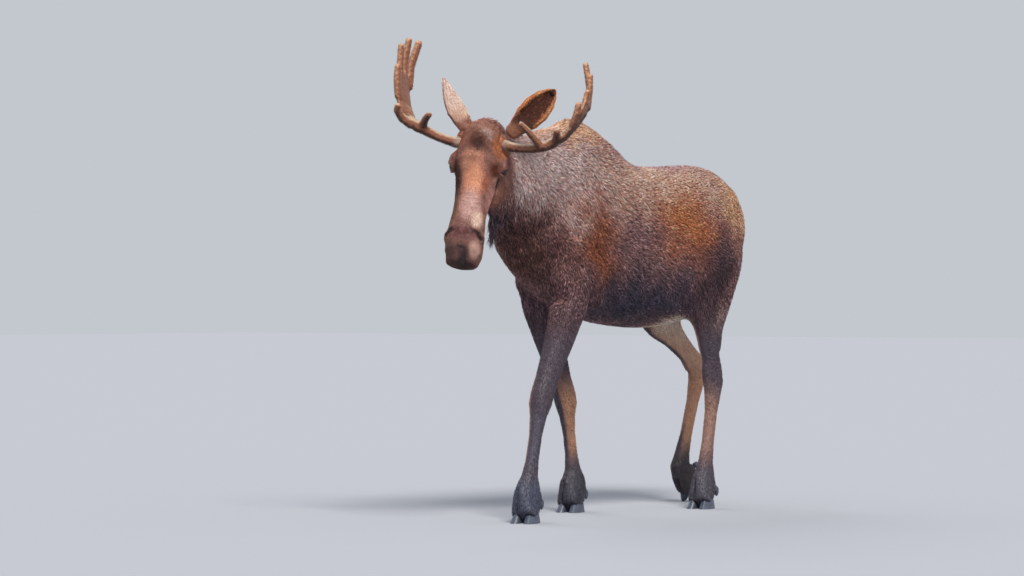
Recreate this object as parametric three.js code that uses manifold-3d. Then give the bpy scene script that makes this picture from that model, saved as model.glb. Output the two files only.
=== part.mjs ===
// A young bull moose (Alces alces shirasi) in summer velvet, life size, caught in mid walk.
// Millimetres, +Z up. The animal faces -Y, its left side is +X, and its hooves stand on z = 0.
//
// The flesh is made whole: lofts for the trunk, neck, head and legs, and swellings for the big
// muscles, joined into one solid. Thin cuts then part it into head, neck, trunk, tail and leg
// pieces. Eyes, ears, antlers, hooves and dewclaws are pieces of their own.
import * as THREE from "three";
import { mergeVertices } from "three/addons/utils/BufferGeometryUtils.js";
import Module from "manifold-3d";

const wasm = await Module();
wasm.setup();

// ---- Driving dimensions -------------------------------------------------------------------

const GAP = 0.3; // clearance between neighbouring pieces
const FAR = 8000; // longer than the animal, for cutting blocks
const UP = new THREE.Vector3(0, 0, 1);

const HUMP_HEIGHT = 1786; // shoulder hump, the tallest point of the back
const LOIN_HEIGHT = 1580;
const CROUP_HEIGHT = 1598;
const BELLY_HEIGHT = 832;
const BARREL_WIDTH = 536; // across the ribs

const HEAD_LENGTH = 626; // poll to the front of the upper lip, along the face
const EYE_WIDTH = 38; // diameter of the eyeball
const EYE_SPREAD = 216; // between the centres of the eyeballs
const EAR_WIDTH = 126;
const EAR_SKIN = 7; // thickness of the ear at its middle

const FETLOCK_HEIGHT = 157; // above the sole of a planted foot
const HOOF_LENGTH = 118;
const HOOF_WIDTH = 54; // one claw
const HOOF_HEIGHT = 58;
const HOOF_SPLAY = 0.09; // radians that each claw turns out
const DEWCLAW_LENGTH = 58;
const DEWCLAW_LEAN = 0.5; // radians that the dewclaw points back from straight down

// Where the head is carried: the poll's place, and the turn of the head about it.
const POLL = new THREE.Vector3(124, -882, 1716);
const HEAD_NOD = THREE.MathUtils.degToRad(64); // nose down from level
const HEAD_TILT = THREE.MathUtils.degToRad(6); // left side lower
const HEAD_YAW = THREE.MathUtils.degToRad(27); // turned to the animal's left

// The stride: each limb's joints from the body down. The fetlock is the foot's own origin.
const STRIDE = {
  fore_left: {
    side: 1,
    joints: [
      [150, -300, 1240],
      [184, -362, 940],
      [172, -556, 530],
      [164, -624, FETLOCK_HEIGHT],
    ],
    foot: { pitch: 0, yaw: 0.28 },
  },
  fore_right: {
    side: -1,
    joints: [
      [-150, -200, 1240],
      [-170, -128, 935],
      [-152, 28, 508],
      [-146, 84, FETLOCK_HEIGHT],
    ],
    foot: { pitch: 0, yaw: 0.26 },
  },
  hind_left: {
    side: 1,
    joints: [
      [135, 800, 1330],
      [180, 612, 1030],
      [170, 737, 603],
      [168, 662, FETLOCK_HEIGHT],
    ],
    foot: { pitch: 0, yaw: 0.2 },
  },
  hind_right: {
    side: -1,
    joints: [
      [-135, 800, 1290],
      [-180, 712, 940],
      [-172, 1088, 646],
      [-168, 926, 177],
    ],
    foot: { pitch: 0.95, yaw: 0 },
  },
};

// ---- Materials ----------------------------------------------------------------------------

const coat = new THREE.MeshStandardMaterial({ color: 0x4a352a, roughness: 0.85, metalness: 0 });
const face = new THREE.MeshStandardMaterial({ color: 0x6b4430, roughness: 0.8, metalness: 0 });
const leg = new THREE.MeshStandardMaterial({ color: 0x4d4040, roughness: 0.8, metalness: 0 });
const velvet = new THREE.MeshStandardMaterial({ color: 0x6a4028, roughness: 0.95, metalness: 0 });
const horn = new THREE.MeshStandardMaterial({ color: 0x1d1b1e, roughness: 0.45, metalness: 0 });
const wetEye = new THREE.MeshStandardMaterial({ color: 0x140c08, roughness: 0.08, metalness: 0 });

// ---- Solid tools --------------------------------------------------------------------------

// A three.js geometry as a solid that can be joined and cut.
function solidOf(geometry) {
  const bare = geometry.clone();
  for (const name of Object.keys(bare.attributes)) {
    if (name !== "position") bare.deleteAttribute(name);
  }
  const merged = mergeVertices(bare, 1e-3);
  const triVerts = new Uint32Array(merged.index.array);
  const vertProperties = merged.attributes.position.array;
  const made = new wasm.Manifold(new wasm.Mesh({ numProp: 3, vertProperties, triVerts }));
  if (made.volume() > 0) return made;
  for (let i = 0; i < triVerts.length; i += 3) {
    [triVerts[i + 1], triVerts[i + 2]] = [triVerts[i + 2], triVerts[i + 1]];
  }
  return new wasm.Manifold(new wasm.Mesh({ numProp: 3, vertProperties, triVerts }));
}

// The largest single body of a solid: cuts can leave crumbs.
function largest(solid) {
  return solid.decompose().reduce((a, b) => (b.volume() > a.volume() ? b : a));
}

// A solid as a flat-shaded three.js geometry.
function geometryOf(solid) {
  const mesh = solid.getMesh();
  const position = new Float32Array(mesh.numVert * 3);
  for (let i = 0; i < mesh.numVert; i++) {
    position.set(mesh.vertProperties.subarray(i * mesh.numProp, i * mesh.numProp + 3), i * 3);
  }
  const geometry = new THREE.BufferGeometry();
  geometry.setAttribute("position", new THREE.BufferAttribute(position, 3));
  geometry.setIndex(new THREE.BufferAttribute(new Uint32Array(mesh.triVerts), 1));
  geometry.computeVertexNormals();
  return geometry;
}

// Everything behind a plane: the plane's point and its outward normal.
function halfSpace(point, normal, grow = 0) {
  const geometry = new THREE.BoxGeometry(FAR, FAR, FAR);
  geometry.translate(0, 0, grow - FAR / 2);
  const out = new THREE.Vector3(...normal).normalize();
  geometry.applyQuaternion(new THREE.Quaternion().setFromUnitVectors(UP, out));
  geometry.translate(...point);
  return solidOf(geometry);
}

// Everything behind all of several planes.
function region(planes, grow = 0) {
  return planes
    .map(({ point, normal }) => halfSpace(point, normal, grow))
    .reduce((a, b) => a.intersect(b));
}

// An ellipsoid: centre, three radii and a turn.
function swelling(centre, radii, turn = [0, 0, 0], sides = 11) {
  const geometry = new THREE.SphereGeometry(1, sides, Math.round(sides * 0.6));
  geometry.scale(...radii);
  geometry.applyMatrix4(new THREE.Matrix4().makeRotationFromEuler(new THREE.Euler(...turn)));
  geometry.translate(...centre);
  return geometry;
}

// A point on a section: half width w, heights up and down from the widest level, and how square
// (over 2) or peaked (under 2) the upper and lower halves are.
function sectionPoint(angle, size, power) {
  const c = Math.cos(angle);
  const s = Math.sin(angle);
  const p = s >= 0 ? power.x : power.y;
  const height = s >= 0 ? size.y : size.z;
  return [
    size.x * Math.sign(c) * Math.abs(c) ** (2 / p),
    height * Math.sign(s) * Math.abs(s) ** (2 / p),
  ];
}

// A loft: a sphere whose rings are laid on sections along a smooth path. Each station gives
// at: [x, y, z], size: [half width, up, down] and power: [upper, lower]. The sections stand
// square to the path, with their width along `across`. `flat` makes them stand square to that
// direction instead.
function loft(stations, { sides = 20, steps = 2, across = [1, 0, 0], flat = null, grow = 0 } = {}) {
  const vec = (a) => new THREE.Vector3(...a);
  const path = new THREE.CatmullRomCurve3(stations.map((s) => vec(s.at)), false, "catmullrom", 0.5);
  const sizes = new THREE.CatmullRomCurve3(stations.map((s) => vec(s.size)), false, "catmullrom", 0.5);
  const powers = new THREE.CatmullRomCurve3(
    stations.map((s) => vec([...(s.power ?? [2, 2]), 0])), false, "catmullrom", 0.5);
  const rings = (stations.length - 1) * steps + 2;
  const geometry = new THREE.SphereGeometry(1, sides, rings);
  const position = geometry.attributes.position;
  const uv = geometry.attributes.uv;
  const end = new THREE.Vector3();
  for (let i = 0; i < position.count; i++) {
    const ring = Math.round((1 - uv.getY(i)) * rings);
    const pole = ring === 0 || ring === rings;
    const t = THREE.MathUtils.clamp((ring - 1) / (rings - 2), 0, 1);
    const centre = path.getPoint(t);
    const ahead = flat ? vec(flat) : path.getTangent(t);
    const side = vec(across).addScaledVector(ahead, -vec(across).dot(ahead)).normalize();
    const up = new THREE.Vector3().crossVectors(side, ahead).normalize();
    const size = sizes.getPoint(t).addScalar(grow);
    if (pole) {
      const cap = 0.35 * Math.min(size.x - grow, size.y + size.z - 2 * grow) + grow;
      end.copy(centre).addScaledVector(ahead, ring === 0 ? -cap : cap);
      position.setXYZ(i, end.x, end.y, end.z);
      continue;
    }
    const [a, b] = sectionPoint(2 * Math.PI * uv.getX(i), size, powers.getPoint(t));
    end.copy(centre).addScaledVector(side, a).addScaledVector(up, b);
    position.setXYZ(i, end.x, end.y, end.z);
  }
  return geometry;
}

const add = (solids) => solids.reduce((a, b) => a.add(b));

// ---- Trunk --------------------------------------------------------------------------------

// Upright sections from the breast to the buttocks: y, height of the widest level, half width,
// top and bottom of the section, and its upper and lower power.
const barrel = BARREL_WIDTH / 2;
const trunkSections = [
  { y: -542, wide: 1258, half: 100, top: 1385, bottom: 1162, power: [2, 2] },
  { y: -455, wide: 1240, half: 162, top: 1475, bottom: 1070, power: [2, 2] },
  { y: -345, wide: 1215, half: 190, top: 1615, bottom: 990, power: [1.8, 2] },
  { y: -240, wide: 1195, half: 206, top: HUMP_HEIGHT - 28, bottom: 940, power: [1.6, 2.1] },
  { y: -150, wide: 1180, half: 218, top: HUMP_HEIGHT, bottom: 900, power: [1.5, 2.2] },
  { y: -60, wide: 1170, half: 226, top: HUMP_HEIGHT - 14, bottom: 876, power: [1.5, 2.2] },
  { y: 30, wide: 1160, half: 235, top: HUMP_HEIGHT - 46, bottom: 860, power: [1.55, 2.2] },
  { y: 110, wide: 1152, half: 246, top: HUMP_HEIGHT - 92, bottom: 848, power: [1.65, 2.2] },
  { y: 190, wide: 1145, half: 255, top: LOIN_HEIGHT + 48, bottom: 840, power: [1.8, 2.2] },
  { y: 280, wide: 1140, half: 262, top: LOIN_HEIGHT + 6, bottom: 834, power: [1.95, 2.2] },
  { y: 400, wide: 1135, half: barrel, top: LOIN_HEIGHT - 2, bottom: BELLY_HEIGHT, power: [2, 2.2] },
  { y: 540, wide: 1140, half: barrel - 2, top: LOIN_HEIGHT + 6, bottom: BELLY_HEIGHT + 12, power: [2, 2.2] },
  { y: 670, wide: 1165, half: 254, top: LOIN_HEIGHT + 14, bottom: 876, power: [2, 2.1] },
  { y: 780, wide: 1210, half: 236, top: CROUP_HEIGHT, bottom: 945, power: [2, 2] },
  { y: 880, wide: 1260, half: 210, top: CROUP_HEIGHT - 16, bottom: 1030, power: [2, 2] },
  { y: 968, wide: 1290, half: 184, top: CROUP_HEIGHT - 64, bottom: 1105, power: [2, 2] },
  { y: 1030, wide: 1306, half: 134, top: CROUP_HEIGHT - 140, bottom: 1160, power: [2, 2] },
];

const trunkLoft = loft(
  trunkSections.map(({ y, wide, half, top, bottom, power }) => ({
    at: [0, y, wide],
    size: [half, top - wide, wide - bottom],
    power,
  })),
  { sides: 20, steps: 1, flat: [0, 1, 0] },
);

// The shoulder of one side, carried forward or back with the limb: blade and triceps.
function shoulder(side, forward) {
  return add([
    solidOf(swelling([side * 132, -205 + forward, 1300], [78, 160, 330], [0.32, side * -0.14, 0])),
    solidOf(swelling([side * 158, -175 + forward, 1085], [72, 150, 175], [0.2, side * -0.1, 0])),
  ]);
}

// The haunch of one side, and the hamstrings that run from it down to the calf.
function haunch(side, back, calf) {
  const hamstring = [
    { at: [side * 138, 902 + back, 1310], size: [74, 92, 92] },
    { at: [side * 162, 860 + back, 1130], size: [74, 80, 80] },
    { at: calf.map((v, i) => v + [0, 45, 130][i]), size: [54, 56, 60] },
    { at: calf, size: [40, 36, 38] },
    { at: calf.map((v, i) => v + [side * -4, -8, -100][i]), size: [28, 26, 28] },
  ];
  return add([
    solidOf(swelling([side * 132, 815 + back, 1215], [104, 180, 290], [-0.12, side * -0.12, 0])),
    solidOf(loft(hamstring, { sides: 10, steps: 1 })),
  ]);
}

// ---- Neck ---------------------------------------------------------------------------------

// Deep at the breast, narrowing to the throat, and bent a little to the left.
const neckLoft = loft(
  [
    { at: [0, -60, 1430], size: [150, 290, 330], power: [1.7, 2] },
    { at: [6, -230, 1425], size: [170, 325, 320], power: [1.7, 2] },
    { at: [22, -400, 1440], size: [158, 285, 284], power: [1.8, 2] },
    { at: [48, -550, 1470], size: [138, 235, 226], power: [1.9, 2] },
    { at: [76, -690, 1520], size: [122, 185, 165], power: [2, 2] },
    { at: [100, -800, 1570], size: [106, 138, 138], power: [2, 2] },
    { at: [120, -885, 1604], size: [84, 92, 110], power: [2, 2] },
  ],
  { sides: 18, steps: 1 },
);

// ---- Head ---------------------------------------------------------------------------------

// The head's own frame stands at the poll, with the face running along -Y and its front up.
const head = new THREE.Group();
head.position.copy(POLL);
head.rotation.set(HEAD_NOD, HEAD_TILT, HEAD_YAW, "ZYX");
head.updateMatrixWorld(true);

// Stations down the face: distance from the poll, depth of the widest level under the face
// line, half width, height above and depth below that level, and powers.
const faceSections = [
  { n: -48, d: 100, size: [58, 50, 72], power: [2, 2] },
  { n: -15, d: 95, size: [84, 76, 100], power: [2.3, 2] },
  { n: 30, d: 88, size: [96, 89, 128], power: [2.4, 2] },
  { n: 80, d: 84, size: [97, 92, 150], power: [2.3, 1.9] },
  { n: 135, d: 79, size: [107, 82, 164], power: [2.4, 1.8] },
  { n: 190, d: 79, size: [105, 66, 158], power: [2.4, 1.8] },
  { n: 235, d: 83, size: [91, 53, 136], power: [2.3, 1.8] },
  { n: 285, d: 89, size: [80, 50, 110], power: [2.2, 1.9] },
  { n: 340, d: 93, size: [73, 53, 93], power: [2.2, 2.1] },
  { n: 400, d: 95, size: [71, 61, 84], power: [2.3, 2.3] },
  { n: 455, d: 98, size: [75, 72, 82], power: [2.4, 2.4] },
  { n: 510, d: 105, size: [79, 75, 79], power: [2.6, 2.6] },
  { n: 565, d: 120, size: [76, 66, 71], power: [2.8, 2.8] },
  { n: HEAD_LENGTH - 18, d: 142, size: [64, 42, 48], power: [2.6, 2.6] },
];

const EYE_PLACE = [EYE_SPREAD / 2, -182, -72];

const headFlesh = add([
  solidOf(loft(
    faceSections.map(({ n, d, size, power }) => ({ at: [0, -n, -d], size, power })),
    { sides: 18, steps: 1, flat: [0, -1, 0] },
  )),
  // chin and lower lip, under the overhanging muzzle
  solidOf(loft(
    [
      { at: [0, -410, -160], size: [40, 26, 26] },
      { at: [0, -490, -176], size: [42, 26, 28] },
      { at: [0, -548, -190], size: [34, 22, 24] },
    ],
    { sides: 12, steps: 1 },
  )),
  // brow ridges over the eyes
  ...[1, -1].map((side) =>
    solidOf(swelling([side * 88, -160, -50], [36, 60, 30], [0, side * 0.35, side * 0.12], 10))),
  // cheeks over the jaw joint and chewing muscle
  ...[1, -1].map((side) =>
    solidOf(swelling([side * 66, -205, -165], [38, 100, 72], [0.15, 0, 0], 10))),
  // nostril wings
  ...[1, -1].map((side) =>
    solidOf(swelling([side * 56, -500, -92], [30, 44, 38], [0.2, 0, side * 0.2], 10))),
  // seats of the antlers
  ...[1, -1].map((side) =>
    solidOf(swelling([side * 80, -60, -40], [34, 36, 34], [0, 0, 0], 10))),
]);

// ---- Legs ---------------------------------------------------------------------------------

// A limb's girths, by bone and share of that bone: half width across, half depth behind and in
// front. Bone 0 is inside the body, bone 3 is the pastern down into the hooves.
const foreGirths = [
  [0, 0.1, 70, 110, 110],
  [0, 0.6, 82, 118, 118],
  [1, 0.0, 78, 92, 112],
  [1, 0.25, 70, 78, 88],
  [1, 0.5, 58, 66, 68],
  [1, 0.78, 48, 56, 54],
  [1, 0.95, 48, 62, 54],
  [2, 0.06, 47, 58, 50],
  [2, 0.2, 36, 38, 38],
  [2, 0.42, 28, 28, 31],
  [2, 0.7, 28, 27, 33],
  [2, 0.88, 34, 33, 44],
  [3, 0.0, 44, 56, 64],
  [3, 0.35, 50, 94, 76],
  [3, 0.75, 57, 76, 62],
  [3, 1.0, 61, 48, 46],
];

const hindGirths = [
  [0, 0.1, 80, 120, 130],
  [0, 0.55, 92, 130, 176],
  [1, -0.05, 84, 108, 172],
  [1, 0.2, 70, 86, 124],
  [1, 0.46, 52, 60, 80],
  [1, 0.74, 40, 40, 62],
  [1, 0.93, 40, 42, 82],
  [2, 0.04, 40, 46, 76],
  [2, 0.16, 35, 42, 50],
  [2, 0.36, 27, 33, 34],
  [2, 0.68, 26, 31, 34],
  [2, 0.88, 33, 36, 42],
  [3, 0.0, 42, 54, 56],
  [3, 0.35, 49, 88, 68],
  [3, 0.75, 56, 72, 58],
  [3, 1.0, 60, 46, 44],
];

// The foot's frame: origin at the fetlock, toes towards -Y, sole FETLOCK_HEIGHT below.
function footFrame({ joints, foot }) {
  const frame = new THREE.Group();
  frame.position.set(...joints[3]);
  frame.rotation.set(foot.pitch, 0, foot.yaw, "ZYX");
  frame.updateMatrixWorld(true);
  return frame;
}

const PASTERN_END = [0, -54, -FETLOCK_HEIGHT + 36]; // inside the hooves

function limb(name, girths) {
  const { joints } = STRIDE[name];
  const frame = footFrame(STRIDE[name]);
  const end = new THREE.Vector3(...PASTERN_END).applyMatrix4(frame.matrixWorld);
  const bones = [...joints.map((j) => new THREE.Vector3(...j)), end];
  const stations = girths.map(([bone, share, half, front, back]) => ({
    at: bones[bone].clone().lerp(bones[bone + 1], share).toArray(),
    size: [half, front, back],
  }));
  return solidOf(loft(stations, { sides: 10, steps: 1, across: [1, 0, 0] }));
}

// ---- Feet ---------------------------------------------------------------------------------

// One claw of a cloven hoof: its sole outline is extruded up, and the wall leans back to the
// coronet. The inner edge is straight and the outer one bows out.
function claw(side) {
  const w = HOOF_WIDTH;
  const l = HOOF_LENGTH;
  const sole = new THREE.Shape();
  sole.moveTo(0, 0);
  sole.bezierCurveTo(w * 0.3, -w * 0.22, w * 0.85, -w * 0.1, w, l * 0.22);
  sole.bezierCurveTo(w * 1.06, l * 0.55, w * 0.84, l * 0.9, w * 0.46, l);
  sole.quadraticCurveTo(w * 0.1, l, 0, l * 0.86);
  sole.closePath();
  const geometry = new THREE.ExtrudeGeometry(sole, {
    depth: HOOF_HEIGHT,
    steps: 2,
    bevelEnabled: false,
    curveSegments: 3,
  });
  const position = geometry.attributes.position;
  for (let i = 0; i < position.count; i++) {
    const up = position.getZ(i) / HOOF_HEIGHT;
    const along = position.getY(i) / l; // 0 at the heel, 1 at the toe
    const shrink = 1 - 0.42 * up;
    const drop = 1 - 0.3 * (1 - along); // the coronet falls towards the heel
    position.setXYZ(
      i,
      side * (3 + (position.getX(i) - w * 0.35) * (1 - 0.26 * up) + w * 0.35),
      -(l * 0.08 + (position.getY(i) - l * 0.08) * shrink),
      position.getZ(i) * drop,
    );
  }
  geometry.rotateZ(side * HOOF_SPLAY);
  geometry.translate(0, 8, -FETLOCK_HEIGHT);
  return geometry;
}

// A dewclaw: a blunt cone that hangs behind the fetlock.
function dewclaw(side) {
  const profile = [
    [0, 0],
    [13, 2],
    [18, 16],
    [14, 38],
    [6, DEWCLAW_LENGTH - 6],
    [0, DEWCLAW_LENGTH],
  ].map(([r, z]) => new THREE.Vector2(r, z));
  const geometry = new THREE.LatheGeometry(profile, 5);
  geometry.rotateX(-Math.PI / 2 + DEWCLAW_LEAN);
  geometry.translate(side * 31, 42, -56);
  return geometry;
}

// A rounded piece swollen about its own middle, to cut the room it stands in.
function swollen(geometry) {
  geometry.computeBoundingBox();
  const middle = geometry.boundingBox.getCenter(new THREE.Vector3());
  const size = geometry.boundingBox.getSize(new THREE.Vector3());
  const scale = size.clone().addScalar(4 * GAP).divide(size);
  return geometry
    .clone()
    .translate(-middle.x, -middle.y, -middle.z)
    .scale(scale.x, scale.y, scale.z)
    .translate(middle.x, middle.y, middle.z);
}

// ---- Ears, antlers, eyes, tail and bell ----------------------------------------------------

// Ears and antlers hang on a level frame at the poll: X across, Y back, Z up.
const rack = new THREE.Group();
rack.rotation.x = -HEAD_NOD;
head.add(rack);
head.updateMatrixWorld(true);

// The ears: root, tip, the way the opening faces, and the leaf's half widths up the ear as
// shares of its width. The right one is seen half rolled, so its leaf tapers sooner.
const EARS = {
  left: {
    root: [116, 18, -32],
    tip: [286, 45, 172],
    opening: [0.28, -1, -0.1],
    width: EAR_WIDTH,
    leaf: [0.46, 0.5, 0.4, 0.22],
  },
  right: {
    root: [-76, 20, -26],
    tip: [-216, 48, 166],
    opening: [-0.82, 0.5, 0.1],
    width: EAR_WIDTH * 0.9,
    leaf: [0.46, 0.37, 0.22, 0.12],
  },
};

// The ear's frame: Z from root to tip, and -Y out of the opening.
function earFrame({ root, tip, opening }) {
  const frame = new THREE.Group();
  const along = new THREE.Vector3(...tip).sub(new THREE.Vector3(...root)).normalize();
  const back = new THREE.Vector3(...opening).negate();
  back.addScaledVector(along, -back.dot(along)).normalize();
  const across = new THREE.Vector3().crossVectors(back, along);
  frame.matrix.makeBasis(across, back, along);
  frame.quaternion.setFromRotationMatrix(frame.matrix);
  frame.position.set(...root);
  rack.add(frame);
  frame.updateMatrixWorld(true);
  return frame;
}

// The outside of an ear: a rolled stalk that opens into a broad leaf.
function earShell({ root, tip, width, leaf }, grow = 0) {
  const length = new THREE.Vector3(...tip).distanceTo(new THREE.Vector3(...root));
  return loft(
    [
      { at: [0, 0, 0], size: [30, 26, 24] },
      { at: [0, -2, length * 0.16], size: [36, 30, 25] },
      { at: [0, -2, length * 0.36], size: [width * leaf[0], 30, 24] },
      { at: [0, 2, length * 0.58], size: [width * leaf[1], 26, 20] },
      { at: [0, 8, length * 0.78], size: [width * leaf[2], 20, 15] },
      { at: [0, 15, length * 0.92], size: [width * leaf[3], 13, 10] },
      { at: [0, 20, length * 0.985], size: [9, 6, 5] },
    ],
    { sides: 11, steps: 1, flat: [0, 0, 1], grow },
  );
}

// The hollow of an ear, open to the front.
function earHollow({ root, tip, width, leaf }) {
  const length = new THREE.Vector3(...tip).distanceTo(new THREE.Vector3(...root));
  const skin = EAR_SKIN;
  return loft(
    [
      { at: [0, -34, length * 0.2], size: [12, 16, 22] },
      { at: [0, -32, length * 0.36], size: [width * leaf[0] - skin, 30, 46] },
      { at: [0, -26, length * 0.58], size: [width * leaf[1] - skin, 30, 40] },
      { at: [0, -16, length * 0.78], size: [width * leaf[2] - skin, 26, 32] },
      { at: [0, -4, length * 0.92], size: [width * leaf[3] - 0.6 * skin, 16, 20] },
    ],
    { sides: 11, steps: 1, flat: [0, 0, 1] },
  );
}

// The antlers, in their first forks of velvet. Each branch gives its points from root to tip, its
// half width from front to back and its half thickness, both in millimetres at those points.
const ANTLERS = {
  left: {
    beam: {
      at: [[78, 6, -74], [133, -18, -89], [182, -34, -91], [235, -44, -88], [288, -56, -72], [330, -62, -56]],
      wide: [22, 20, 17, 18, 24, 22],
      thick: [22, 20, 17, 17, 20, 18],
    },
    brow: {
      at: [[272, -58, -76], [248, -78, -48], [217, -100, -16], [182, -118, 13]],
      wide: [20, 16, 13, 10],
      thick: [18, 15, 12, 10],
    },
    palm: {
      at: [[312, -60, -60], [362, -50, -26], [404, -38, 30], [430, -26, 84], [442, -18, 134]],
      wide: [26, 46, 66, 74, 62],
      thick: [20, 16, 13, 12, 12],
    },
    front: {
      at: [[338, -70, -44], [344, -100, -22], [345, -122, -2]],
      wide: [19, 16, 13],
      thick: [18, 16, 13],
    },
    points: [
      { at: [[402, -80, 26], [418, -94, 76], [423, -100, 122]], wide: [20, 17, 13], thick: [14, 14, 12] },
      { at: [[432, -58, 84], [442, -58, 130], [448, -58, 180]], wide: [19, 16, 12], thick: [13, 12, 11] },
      { at: [[440, -14, 112], [447, -12, 182], [442, -10, 250]], wide: [19, 17, 12], thick: [13, 12, 11] },
      { at: [[438, 24, 104], [436, 34, 196], [406, 40, 298]], wide: [20, 17, 12], thick: [13, 13, 11] },
    ],
  },
  right: {
    beam: {
      at: [[-66, 6, -84], [-108, -18, -92], [-150, -34, -84], [-196, -44, -71], [-248, -56, -50], [-284, -64, -41]],
      wide: [25, 23, 20, 20, 24, 22],
      thick: [25, 23, 19, 19, 21, 19],
    },
    brow: {
      at: [[-252, -62, -44], [-240, -86, -18], [-226, -106, 2], [-211, -120, 16]],
      wide: [19, 16, 14, 12],
      thick: [18, 15, 13, 12],
    },
    palm: {
      at: [[-268, -62, -44], [-318, -44, -14], [-350, -24, 44], [-368, -8, 112], [-376, 0, 178]],
      wide: [26, 50, 76, 88, 80],
      thick: [22, 18, 15, 13, 13],
    },
    front: {
      at: [[-296, -76, -38], [-336, -104, -12], [-353, -128, 18], [-347, -140, 42]],
      wide: [19, 17, 16, 13],
      thick: [19, 17, 15, 13],
    },
    points: [
      { at: [[-366, -74, 74], [-378, -80, 146], [-382, -80, 212]], wide: [20, 18, 13], thick: [15, 14, 12] },
      { at: [[-374, -34, 130], [-384, -35, 210], [-388, -35, 302]], wide: [20, 18, 13], thick: [14, 14, 12] },
      { at: [[-370, 14, 130], [-379, 18, 225], [-370, 20, 332]], wide: [20, 18, 13], thick: [14, 15, 13] },
      { at: [[-358, 58, 120], [-362, 64, 215], [-337, 70, 326]], wide: [20, 19, 15], thick: [15, 17, 15] },
    ],
  },
};

// A branch of an antler as a loft. Its width lies front to back.
function branch({ at, wide, thick }, grow = 0) {
  const stations = at.map((point, i) => ({ at: point, size: [wide[i], thick[i], thick[i]] }));
  return solidOf(loft(stations, { sides: 6, steps: 1, across: [0, 1, 0.2], grow }));
}

const TAIL = [
  { at: [0, 985, 1478], size: [36, 26, 26] },
  { at: [0, 1048, 1440], size: [40, 24, 24] },
  { at: [0, 1082, 1384], size: [36, 20, 20] },
  { at: [0, 1094, 1328], size: [20, 13, 13] },
];

// The bell: a small fold of skin and hair hanging from the throat.
const BELL = [
  { at: [64, -700, 1450], size: [20, 40, 40] },
  { at: [56, -716, 1385], size: [19, 34, 34] },
  { at: [50, -728, 1310], size: [16, 26, 26] },
  { at: [46, -734, 1232], size: [8, 12, 12] },
];

// ---- Flesh, whole -------------------------------------------------------------------------

const GIRTHS = {
  fore_left: foreGirths,
  fore_right: foreGirths,
  hind_left: hindGirths,
  hind_right: hindGirths,
};

let flesh = add([
  solidOf(trunkLoft),
  solidOf(neckLoft),
  shoulder(1, -20),
  shoulder(-1, 20),
  haunch(1, -20, [176, 748, 826]),
  haunch(-1, 10, [-178, 880, 850]),
  headFlesh.transform(head.matrixWorld.elements),
  ...Object.keys(STRIDE).map((name) => limb(name, GIRTHS[name])),
]);

// ---- Assembly -----------------------------------------------------------------------------

const moose = new THREE.Group();
moose.name = "moose";
moose.add(head);

function show(name, solid, material, group = moose) {
  const mesh = new THREE.Mesh(geometryOf(largest(solid)), material);
  mesh.name = name;
  group.add(mesh);
}

// Takes a piece off the flesh behind the given planes and leaves a gap.
function part(planes) {
  const piece = flesh.intersect(region(planes));
  flesh = flesh.subtract(region(planes, GAP));
  return piece;
}

// Makes room in the flesh for a piece of its own that stands in a group's frame.
function seat(grown, group) {
  flesh = flesh.subtract(grown.transform(group.matrixWorld.elements));
}

// Feet: two claws and two dewclaws each, trimmed where they would sink into the floor.
for (const [name, limbPose] of Object.entries(STRIDE)) {
  const foot = footFrame(limbPose);
  moose.add(foot);
  const floor = halfSpace([0, 0, 0], [0, 0, 1]);
  const inFoot = foot.matrixWorld.clone().invert();
  for (const [digit, side] of [["left", 1], ["right", -1]]) {
    const toe = solidOf(claw(side)).subtract(floor.transform(inFoot.elements));
    show(`hoof_${name}_${digit}`, toe, horn, foot);
    seat(solidOf(swollen(claw(side))), foot);
    show(`dewclaw_${name}_${digit}`, solidOf(dewclaw(side)), horn, foot);
    seat(solidOf(swollen(dewclaw(side))), foot);
  }
}

// Eyes.
for (const [name, side] of [["left", 1], ["right", -1]]) {
  const place = [side * EYE_PLACE[0], EYE_PLACE[1], EYE_PLACE[2]];
  const radius = EYE_WIDTH / 2;
  const ball = (r) => solidOf(swelling(place, [r, r, r], [0, 0, 0], 10));
  show(`eye_${name}`, ball(radius), wetEye, head);
  seat(ball(radius + GAP), head);
}

// Ears.
for (const [name, pose] of Object.entries(EARS)) {
  const frame = earFrame(pose);
  const shell = solidOf(earShell(pose)).subtract(solidOf(earHollow(pose)));
  show(`ear_${name}`, shell, coat, frame);
  seat(solidOf(earShell(pose, GAP)), frame);
}

// Antlers, parted at their forks.
for (const [name, { beam, brow, palm, front, points }] of Object.entries(ANTLERS)) {
  const palmWith = (grow) => add([palm, ...points].map((each) => branch(each, grow)));
  const beamGrown = branch(beam, GAP);
  const palmGrown = palmWith(GAP).add(beamGrown);
  const frontGrown = branch(front, GAP).add(palmGrown);
  show(`antler_${name}_beam`, branch(beam), velvet, rack);
  show(`antler_${name}_palm`, palmWith(0).subtract(beamGrown), velvet, rack);
  show(`antler_${name}_front`, branch(front).subtract(palmGrown), velvet, rack);
  show(`antler_${name}_brow`, branch(brow).subtract(frontGrown), velvet, rack);
  seat(beamGrown, rack);
}

// Tail and bell.
show("tail", solidOf(loft(TAIL, { sides: 10, steps: 1 })), coat);
seat(solidOf(loft(TAIL, { sides: 10, steps: 1, grow: GAP })), moose);
show("bell", solidOf(loft(BELL, { sides: 10, steps: 1 })), coat);
seat(solidOf(loft(BELL, { sides: 10, steps: 1, grow: GAP })), moose);

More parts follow.
